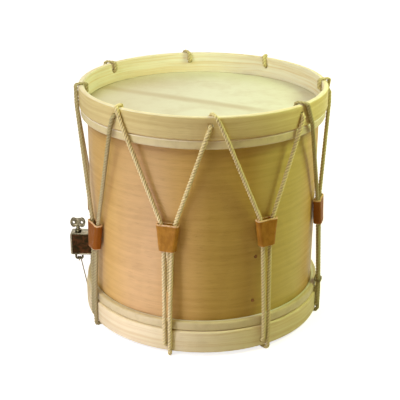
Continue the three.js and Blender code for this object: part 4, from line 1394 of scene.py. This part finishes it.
class DRUM_OT_lacing(bpy.types.Operator):
    """Lace the cord, one bay for each ear."""

    bl_idname = "drum.lacing"
    bl_label = "Lacing cord"

    def execute(self, context):
        sizes = context.scene.drum_sizes
        laid = ("lacing_cord", sizes.cord_diameter, sizes.cord_lay, sizes.cord_groove, CORD_STRANDS,
                CORD_SIDES, CORD_STEP)
        for ear in range(EAR_COUNT):
            number = ear + 1
            upper = cord_piece(f"upper_strands_{number}", upper_routes(sizes, ear), *laid)
            spare = [spare_route(sizes)] if ear == SPARE_END_EAR else []
            lower = cord_piece(f"lower_bight_{number}", [lower_route(sizes, ear), *spare], *laid)
            mouth = EAR_LEVELS[ear] + sizes.ear_length + EAR_EASE
            tail = EAR_LEVELS[ear] - EAR_EASE
            # Grime and painted shade of this bay's cord
            grime_and_shade = CORD_GRIME_AND_SHADE[ear]
            for piece, still, moved, grime_and_shade_share in (
                    (upper, HOOP_EDGE_LEVEL, mouth, grime_and_shade), (lower, SNARE_HIGH.z, tail, grime_and_shade + LOWER_GRIME)):
                press(piece.data)
                mark(piece.data, "grime_and_shade", grime_and_shade_share)
                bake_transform(piece)
                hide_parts(f"lacing_{number}")
        return {"FINISHED"}


def flat_ring(half_width, half_depth, corner, arc_steps=6, side_steps=8):
    """A flattened ring of (out, across) pairs with round corners, from the middle of its outer side."""
    across = half_width - corner
    out = half_depth - corner
    pairs = []
    for quarter, (out_sign, across_sign) in enumerate(((1, 1), (-1, 1), (-1, -1), (1, -1))):
        for step in range(arc_steps + 1):
            turn = math.pi / 2 * (quarter + step / arc_steps)
            pairs.append((out_sign * out + corner * math.cos(turn),
                          across_sign * across + corner * math.sin(turn)))
    inner = [(-half_depth, across * (1 - step / side_steps)) for step in range(1, 2 * side_steps)]
    first = [(half_depth, across * step / side_steps) for step in range(side_steps)]
    last = [(half_depth, -across * (1 - step / side_steps)) for step in range(1, side_steps)]
    half = 2 * (arc_steps + 1)
    return [*first, *pairs[:half], *inner, *pairs[half:], *last]


class DRUM_OT_ears(bpy.types.Operator):
    """Cut and fold the leather ears over their pairs of strands."""

    bl_idname = "drum.ears"
    bl_label = "Leather ears"

    def execute(self, context):
        sizes = context.scene.drum_sizes
        for ear in range(EAR_COUNT):
            mesh = self.sleeve(sizes, ear)
            place = (Matrix.Rotation(math.radians(ear_angle(ear)), 4, "Z")
                     @ Matrix.Translation((strand_radius(sizes, EAR_LEVELS[ear]), 0, EAR_LEVELS[ear]))
                     @ Matrix.Rotation(-math.atan(strand_lean(sizes)), 4, "Y"))
            mesh.transform(place)
            piece = link(f"leather_ear_{ear + 1}", mesh, ["ear_hide", "leather_cut"])
            settle(piece, f"ear_{ear + 1}_body", "ear_leather", f"ear_{ear + 1}")
        return {"FINISHED"}

    @staticmethod
    def sleeve(sizes, ear):
        """A tapered sleeve. Its section runs up inside, over the cut edge and down outside."""
        length = sizes.ear_length
        wall = sizes.leather
        edge = EAR_EDGE_ROUNDING
        side = [length * row / EAR_ROWS for row in range(1, EAR_ROWS)]
        corners = [(0, 0, edge), (wall, 0, edge), (wall, length, edge), (0, length, edge)]
        section = rounded_profile(corners, EAR_EDGE_STEPS)
        count = len(section) // 4
        bottom_out, bottom_in, top_in, top_out = (section[at * count:(at + 1) * count] for at in range(4))
        cut_level = length - EAR_CUT_BAND
        loop = [*bottom_out, *bottom_in, *((wall, z) for z in side), *top_in, *top_out, (0, cut_level),
                *((0, z) for z in reversed(side))]
        half_depth = sizes.cord_diameter / 2 + EAR_SLACK + wall
        corner = EAR_CORNER_SHARE * half_depth
        flare = (sizes.ear_top_width - sizes.ear_bottom_width) / 2
        rows = []
        for inset, z in loop:
            share = z / length
            half_width = sizes.ear_bottom_width / 2 + flare * share
            ring = flat_ring(half_width - inset, half_depth - inset, corner - inset)
            row = []
            for out, across in ring:
                between = max(0.0, 1 - (across / half_width) ** 2)
                pressed = out * (1 - sizes.ear_pinch * share * between)
                spot = (out * EAR_WOBBLE_SCALE, across * EAR_WOBBLE_SCALE,
                        z * EAR_WOBBLE_SCALE + EAR_WOBBLE_STEP * ear)
                wobble = noise.noise(spot) * EAR_WOBBLE
                row.append((pressed + wobble / 2, across + wobble, z + wobble / 2))
            rows.append([*row, row[0]])
        far = travelled_along(loop)
        columns = len(rows[0]) - 1
        around = 2 * (sizes.ear_top_width + 2 * half_depth)
        mesh = grid_mesh("leather_ear", rows, True, lambda row, c: (around * c / columns + ear, far[row]))
        cut = {row for row, (_, z) in enumerate(loop) if z < edge or z >= cut_level}
        for face in mesh.polygons:
            row = face.index // columns
            if row in cut and (row + 1) % len(loop) in cut:
                face.material_index = 1
        smooth(mesh, EAR_SHARP_ANGLE)
        # Tanned leather and painted shade, darkest on the ears at the drum's left and right edges
        mark(mesh, "tan", EAR_TAN_AND_SHADE[ear])
        return mesh


def at_tensioner(mesh):
    mesh.transform(Matrix.Rotation(math.radians(TENSIONER_ANGLE), 4, "Z"))
    return mesh


def screw_drill(low, high):
    """What the thumb screw's hole takes out between two levels."""
    profile = [(0, low), (SCREW_BORE, low), (SCREW_BORE, high), (0, high)]
    drill = turned("drill", profile, SMALL_SIDES, closed=False)
    drill.transform(Matrix.Translation((SCREW_X, 0, 0)))
    return drill


def case_outline(inset, bend):
    """The tensioner's case from the side, drawn in by an inset."""
    back = HOUSING_BACK + inset
    front = HOUSING_FRONT - inset
    low = HOUSING_BOTTOM + inset
    high = HOUSING_TOP - inset
    return rounded_profile([
        (back, low, PLATE_ROUNDING), (front, low, bend), (front, high, bend), (back, high, PLATE_ROUNDING)])


class DRUM_OT_tensioner(bpy.types.Operator):
    """Build the snare tensioner: its housing, thumb screw and hook."""

    bl_idname = "drum.tensioner"
    bl_label = "Snare tensioner"

    def execute(self, context):
        housing = link("tensioner_case", at_tensioner(self.case()), ["case_plating", "cheek_steel"])
        settle(housing, "drum", "plate_steel", "tensioner_housing")
        screw = link("winged_screw", at_tensioner(self.screw()), ["worn_nickel"])
        settle(screw, "thumb_screw", "nickel_steel", "tensioner_thumb_screw")
        hook = link("gut_hook", at_tensioner(self.hook()), ["worn_nickel"])
        settle(hook, "snare_hook", "nickel_steel", "tensioner_hook")
        return {"FINISHED"}

    @staticmethod
    def case():
        """A plated strap bent round dark cheeks, on a back plate."""
        half = HOUSING_WIDTH / 2
        inside = case_outline(PLATE, CASE_INNER_BEND)
        strap = extruded("strap", [case_outline(0, CASE_BEND), inside], -half, half)
        reach = HOOK_DIAMETER / 2 + CLEARANCE
        slot = box_mesh((HOOK_X - reach, -reach, HOUSING_BOTTOM - PLATE),
                        (HOOK_X + reach, reach, HOUSING_BOTTOM + 2 * PLATE))
        strap = without(without(strap, slot), screw_drill(HOUSING_TOP - 2 * PLATE, HOUSING_TOP + PLATE))
        cheeks = []
        for sign in (-1, 1):
            faces = sorted((sign * (half - CHEEK_INSET), sign * (half - PLATE)))
            cheeks.append((extruded("cheek", [inside], *faces), 1))
        plate = box_mesh((HOUSING_BACK, -half, HOUSING_BOTTOM - FLANGE_HEIGHT),
                         (HOUSING_BACK + PLATE, half, HOUSING_TOP + FLANGE_HEIGHT))
        return gathered("tensioner_case", [
            (bevelled(strap, PLATE_ROUNDING), 0), *cheeks, (bevelled(plate, BACK_PLATE_ROUNDING), 0)])

    @staticmethod
    def screw():
        """A turned stem and collar under a flat wing with two eyes."""
        seat = HOUSING_TOP + CLEARANCE
        tip = HOUSING_TOP - PLATE - SCREW_REACH
        profile = [(radius, tip + rise) for radius, rise in STEM_TIP]
        profile += [(radius, seat + rise) for radius, rise in STEM_COLLAR]
        stem = turned("stem", profile, SMALL_SIDES, closed=False)
        middle = seat + WING_LIFT + WING_HALF_HEIGHT
        halves = (WING_HALF_WIDTH, WING_HALF_HEIGHT)
        outline = [*ellipse(WING_LOBE, middle, *halves, WING_NOTCH - math.pi, math.pi - WING_NOTCH),
                   *ellipse(-WING_LOBE, middle, *halves, WING_NOTCH, math.tau - WING_NOTCH)]
        eyes = [ellipse(sign * WING_LOBE, middle, *WING_EYE) for sign in (-1, 1)]
        wing = extruded("wing", [outline, *eyes], -WING_HALF_PLATE, WING_HALF_PLATE)
        whole = gathered("winged_screw", [(stem, 0), (bevelled(wing, WING_ROUNDING, WING_BEVEL_STEPS), 0)])
        whole.transform(Matrix.Translation((SCREW_X, 0, 0)))
        return whole

    @staticmethod
    def hook():
        """A nut yoke that the screw draws up, and the bent wire hook under it."""
        half = YOKE_WIDTH / 2
        strap = box_mesh((YOKE_BACK, -half, YOKE_LOW), (YOKE_BACK + YOKE_PLATE, half, YOKE_HIGH))
        nut = box_mesh((YOKE_BACK, -half, YOKE_HIGH - NUT_HEIGHT), (YOKE_FRONT, half, YOKE_HIGH))
        nut = without(nut, screw_drill(YOKE_LOW, HOUSING_TOP))
        foot = box_mesh((YOKE_BACK, -half, YOKE_LOW), (YOKE_FRONT, half, YOKE_LOW + YOKE_PLATE))
        yoke = [(bevelled(plate, YOKE_ROUNDING), 0) for plate in (strap, nut, foot)]
        route = rounded_route([
            (Vector((HOOK_X, 0, YOKE_LOW + YOKE_PLATE / 2)), 0), (Vector((HOOK_X, 0, HOOK_LEVEL)), HOOK_BEND),
            (Vector((HOOK_X - HOOK_LENGTH, 0, HOOK_LEVEL)), HOOK_BEND),
            (Vector((HOOK_X - HOOK_LENGTH, 0, HOOK_LEVEL + HOOK_TIP)), 0)])
        return gathered("gut_hook", [*yoke, (wire_mesh(route, HOOK_DIAMETER / 2), 0)])


def wire_mesh(route, radius):
    """A round wire along a route in the x-z plane, with slightly rounded ends."""
    last = len(route) - 1
    stations = [(0, -WIRE_END, 0.0), (0, -WIRE_END, WIRE_END_SHARE)]
    stations += [(at, 0, 1.0) for at in range(last + 1)]
    stations += [(last, WIRE_END, WIRE_END_SHARE), (last, WIRE_END, 0.0)]
    turns = [math.tau * side / WIRE_SIDES for side in range(WIRE_SIDES + 1)]
    beside = Vector((0, 1, 0))
    rows = []
    for at, beyond, share in stations:
        ahead = (route[min(at + 1, last)] - route[max(at - 1, 0)]).normalized()
        up = ahead.cross(beside)
        centre = route[at] + ahead * beyond
        rows.append([centre + (beside * math.cos(turn) + up * math.sin(turn)) * radius * share
                     for turn in turns])
    mesh = grid_mesh("wire", rows, False, lambda row, side: (row, side / WIRE_SIDES))
    smooth(mesh)
    return mesh


@tree_once("driven_fasteners")
def fastener_tree(name):
    """A fastener on each point, turned to face out from the drum's axis."""
    nodes, given, result = geometry_tree(name, [
        ("Fastener", "NodeSocketObject"), ("Material", "NodeSocketMaterial")])
    here = nodes.first("GeometryNodeInputPosition")
    flat = nodes.first("ShaderNodeVectorMath", {0: here, 1: (1, 1, 0)}, operation="MULTIPLY")
    turn = nodes.first("FunctionNodeAlignRotationToVector", {"Vector": flat}, axis="X")
    model = nodes.add("GeometryNodeObjectInfo", {"Object": given["Fastener"]}).outputs["Geometry"]
    points = nodes.first("GeometryNodeMeshToPoints", {"Mesh": given["Geometry"]})
    driven = nodes.first("GeometryNodeInstanceOnPoints", {
        "Points": points, "Instance": model, "Rotation": turn})
    return end_tree(nodes, driven, given["Material"], result)


class DRUM_OT_fasteners(bpy.types.Operator):
    """Drive the seam's tacks and the tensioner's screws."""

    bl_idname = "drum.fasteners"
    bl_label = "Tacks and screws"

    def execute(self, context):
        tack = self.domed("tack", *TACK)
        tack_points = [polar(SHELL_RADIUS + CLEARANCE, angle, z) for angle, z in TACK_PLACES]
        screw = without(self.domed("screw", *PLATE_SCREW), box_mesh(*SLOT_CORNERS))
        screw_radius = HOUSING_BACK + PLATE + CLEARANCE
        screw_points = [polar(screw_radius, TENSIONER_ANGLE, z) for z in MOUNT_SCREW_LEVELS]
        for name, model, points, finish, slot, nodes in (
                ("seam_tacks", tack, tack_points, "dark_tack", "tack_steel",
                 ("seam_tack_upper", "seam_tack_lower")),
                ("plate_screws", screw, screw_points, "nickel", "nickel_steel",
                 ("tensioner_mount_screw_lower", "tensioner_mount_screw_upper"))):
            template = placed("template", model)
            marks = bpy.data.meshes.new("marks")
            marks.from_pydata(points, [], [])
            piece = grown(name, marks, fastener_tree(), {"Fastener": template, "Material": finish_of(finish)})
            bpy.data.objects.remove(template)
            settle(piece, "drum", slot, *nodes)
        return {"FINISHED"}

    @staticmethod
    def domed(name, head, rise, shank, length):
        """A round-headed fastener along x, its head's underside at zero."""
        turns = [math.pi / 2 * step / DOME_STEPS for step in range(DOME_STEPS)]
        dome = [(head * math.cos(turn), rise * (DOME_SIDE + (1 - DOME_SIDE) * math.sin(turn)))
                for turn in turns]
        pin = [(0, -length), (SHANK_TIP * shank, -length), (shank, shank - length), (shank, 0)]
        mesh = turned(name, [*pin, (head, 0), *dome, (0, rise)], SMALL_SIDES, closed=False)
        mesh.transform(Matrix.Rotation(math.pi / 2, 4, "Y"))
        return mesh


def hook_turns(gut):
    """The gut's turn round the hook's bar. It starts on top and leaves downwards on the near side."""
    radius = HOOK_DIAMETER / 2 + GUT_GAP + gut / 2
    start = HOOK_X - HOOK_LENGTH / 2 + GUT_PITCH * GUT_HOOK_TURNS / 2
    points = [Vector((start, gut, HOOK_LEVEL + radius))]
    for step in range(round(GUT_HOOK_TURNS * TURN_STEPS) + 1):
        angle = math.pi / 2 + math.tau * step / TURN_STEPS
        out = start - GUT_PITCH * step / TURN_STEPS
        points.append(Vector((out, radius * math.cos(angle), HOOK_LEVEL + radius * math.sin(angle))))
    turn = Matrix.Rotation(math.radians(TENSIONER_ANGLE), 3, "Z")
    return [turn @ point for point in points]


def tie_track(sizes, turns, z):
    """A place on the racetrack round both strands of the tie's ear, counted in turns from its far end."""
    radius = sizes.cord_diameter / 2 + GUT_GAP + sizes.gut_diameter / 2
    bow = math.pi * radius
    lap = 2 * (bow + STRAND_SPACING)
    travelled = (turns % 1) * lap + bow / 2
    side = -1 if travelled % lap >= lap / 2 else 1
    along = travelled % (lap / 2)
    turn = min(along, bow) / radius - math.pi / 2
    across = STRAND_SPACING / 2 + radius * math.cos(turn) - max(along - bow, 0)
    outward = polar(radius * math.sin(turn) * side, ear_angle(GUT_TIE_EAR), 0)
    return ear_place(sizes, GUT_TIE_EAR, across * side, z) + outward


class DRUM_OT_gut(bpy.types.Operator):
    """Tie the gut snare on its hook, lead it across the lower skin and tie it round an ear's strands."""

    bl_idname = "drum.gut"
    bl_label = "Gut snare"

    def execute(self, context):
        sizes = context.scene.drum_sizes
        gut = cord_piece(
            "gut_string", [self.route(sizes)], "twisted_gut", sizes.gut_diameter, sizes.gut_lay, GUT_GROOVE,
            GUT_STRANDS, GUT_SIDES, GUT_STEP)
        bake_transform(gut)
        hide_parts("gut_snare")
        return {"FINISHED"}

    @staticmethod
    def route(sizes):
        """From the turns on the hook, through the hoop, under the skin and out again to the tie."""
        gut = sizes.gut_diameter
        face = HOOP_RADIUS + CLEARANCE + gut / 2
        inside = HOOP_INNER - GUT_INSET
        under = SNARE_SKIN_LOW.z - CLEARANCE - gut / 2
        loop = hook_turns(gut)
        turns = [step / TURN_STEPS for step in range(GUT_TIE_TURNS * TURN_STEPS + 1)]
        tie = [tie_track(sizes, turn, GUT_TIE_LEVEL + GUT_PITCH * turn) for turn in turns]
        tie.append(tie[-1] + polar(gut, ear_angle(GUT_TIE_EAR), 0))
        run = rounded_route([
            (loop[-1], 0),
            (polar(face, TENSIONER_ANGLE, GUT_GATE_LEVEL), GUT_BEND),
            (polar(HOOP_INNER - GUT_BEND, TENSIONER_ANGLE, GUT_GATE_LEVEL), GUT_BEND),
            (polar(inside, TENSIONER_ANGLE, under), GUT_BEND),
            (polar(inside, GUT_TIE_ANGLE, under), GUT_BEND),
            (polar(HOOP_INNER - GUT_BEND, GUT_TIE_ANGLE, GUT_GATE_LEVEL), GUT_BEND),
            (polar(face, GUT_TIE_ANGLE, GUT_GATE_LEVEL), GUT_BEND),
            (tie[0], 0)])
        return [*loop[:-1], *run[:-1], *tie]


class DRUM_OT_stage(bpy.types.Operator):
    """Set the floor, the lamps, the world and the camera."""

    bl_idname = "drum.stage"
    bl_label = "Stage"

    def execute(self, context):
        self.floor(context)
        self.world(context.scene)
        for lamp in LAMPS:
            self.lamp(*lamp)
        self.camera(context.scene)
        context.scene.view_settings.view_transform = "Standard"
        return {"FINISHED"}

    @staticmethod
    def floor(context):
        signs = ((-1, -1), (1, -1), (1, 1), (-1, 1))
        corners = [(x * FLOOR_HALF, y * FLOOR_HALF, FLOOR_LEVEL) for x, y in signs]
        mesh = bpy.data.meshes.new("floor")
        mesh.from_pydata(corners, [], [(0, 1, 2, 3)])
        material, nodes, shader = new_material("pale_floor")
        place = object_place(nodes)
        pale = context.scene.drum_colours.floor
        patches = nodes.span(nodes.noise(place, FLOOR_PATCH_SCALE, detail=3), *FLOOR_PATCH_SPAN)
        nodes.put(nodes.mix(patches, pale, toned(pale, FLOOR_PATCH_TONE)), shader.inputs["Base Color"])
        shader.inputs["Roughness"].default_value = FLOOR_ROUGHNESS
        shader.inputs["Emission Color"].default_value = WHITE
        glow = nodes.span(nodes.distance(place), *FLOOR_GLOW)
        nodes.put(nodes.times(nodes.seen(), glow), shader.inputs["Emission Strength"])
        mesh.materials.append(material)
        floor = placed("floor", mesh)

    @staticmethod
    def world(scene):
        world = bpy.data.worlds.new("studio")
        scene.world = world
        world.use_nodes = True
        world.node_tree.nodes.clear()
        nodes = Nodes(world.node_tree)
        ambient = nodes.first("ShaderNodeBackground", {"Color": AMBIENT, "Strength": AMBIENT_STRENGTH})
        white = nodes.first("ShaderNodeBackground", {"Color": WHITE, "Strength": 1.0})
        both = nodes.first("ShaderNodeMixShader", {0: nodes.seen(), 1: ambient, 2: white})
        nodes.add("ShaderNodeOutputWorld", {"Surface": both})

    @staticmethod
    def lamp(name, azimuth, elevation, distance, size, power, colour):
        data = bpy.data.lights.new(name, "AREA")
        data.shape = "RECTANGLE"
        data.size, data.size_y = size
        data.energy = power
        data.color = colour
        lamp = placed(name, data)
        lamp.visible_camera = False
        rise = math.radians(elevation)
        lamp.location = LOOK_AT + polar(distance * math.cos(rise), azimuth, distance * math.sin(rise))
        lamp.rotation_euler = (LOOK_AT - lamp.location).to_track_quat("-Z", "Y").to_euler()

    @staticmethod
    def camera(scene):
        data = bpy.data.cameras.new("camera")
        data.lens = CAMERA_LENS
        data.sensor_width = CAMERA_SENSOR
        data.shift_x, data.shift_y = CAMERA_SHIFT
        camera = placed("camera", data)
        back = Vector((0, -math.cos(CAMERA_ELEVATION), math.sin(CAMERA_ELEVATION)))
        camera.location = LOOK_AT + back * CAMERA_DISTANCE
        aim = (-back).to_track_quat("-Z", "Y").to_matrix() @ Matrix.Rotation(CAMERA_ROLL, 3, "Z")
        camera.rotation_euler = aim.to_euler()
        scene.camera = camera


class DRUM_PT_build(bpy.types.Panel):
    """Lists the drum's pieces and the values that shape them."""

    bl_label = "Folk drum"
    bl_idname = "DRUM_PT_build"
    bl_space_type = "VIEW_3D"
    bl_region_type = "UI"
    bl_category = "Drum"

    def draw(self, context):
        for operator in OPERATORS:
            self.layout.operator(operator.bl_idname)
        for group in (context.scene.drum_sizes, context.scene.drum_colours):
            for name in group.bl_rna.properties.keys():
                if name not in ("rna_type", "name"):
                    self.layout.prop(group, name)


OPERATORS = (
    DRUM_OT_stage, DRUM_OT_shell, DRUM_OT_hoops, DRUM_OT_skins, DRUM_OT_lacing, DRUM_OT_ears,
    DRUM_OT_tensioner, DRUM_OT_fasteners, DRUM_OT_gut,
)
CLASSES = (DrumSizes, DrumColours, *OPERATORS, DRUM_PT_build)


def register():
    for made in CLASSES:
        bpy.utils.register_class(made)
    bpy.types.Scene.drum_sizes = bpy.props.PointerProperty(type=DrumSizes)
    bpy.types.Scene.drum_colours = bpy.props.PointerProperty(type=DrumColours)


def unregister():
    del bpy.types.Scene.drum_colours
    del bpy.types.Scene.drum_sizes
    for made in reversed(CLASSES):
        bpy.utils.unregister_class(made)


def main():
    register()
    bpy.ops.drum.stage()
    bpy.ops.drum.shell()
    bpy.ops.drum.hoops()
    bpy.ops.drum.skins()
    bpy.ops.drum.lacing()
    bpy.ops.drum.ears()
    bpy.ops.drum.tensioner()
    bpy.ops.drum.fasteners()
    bpy.ops.drum.gut()


if __name__ == "__main__":
    main()
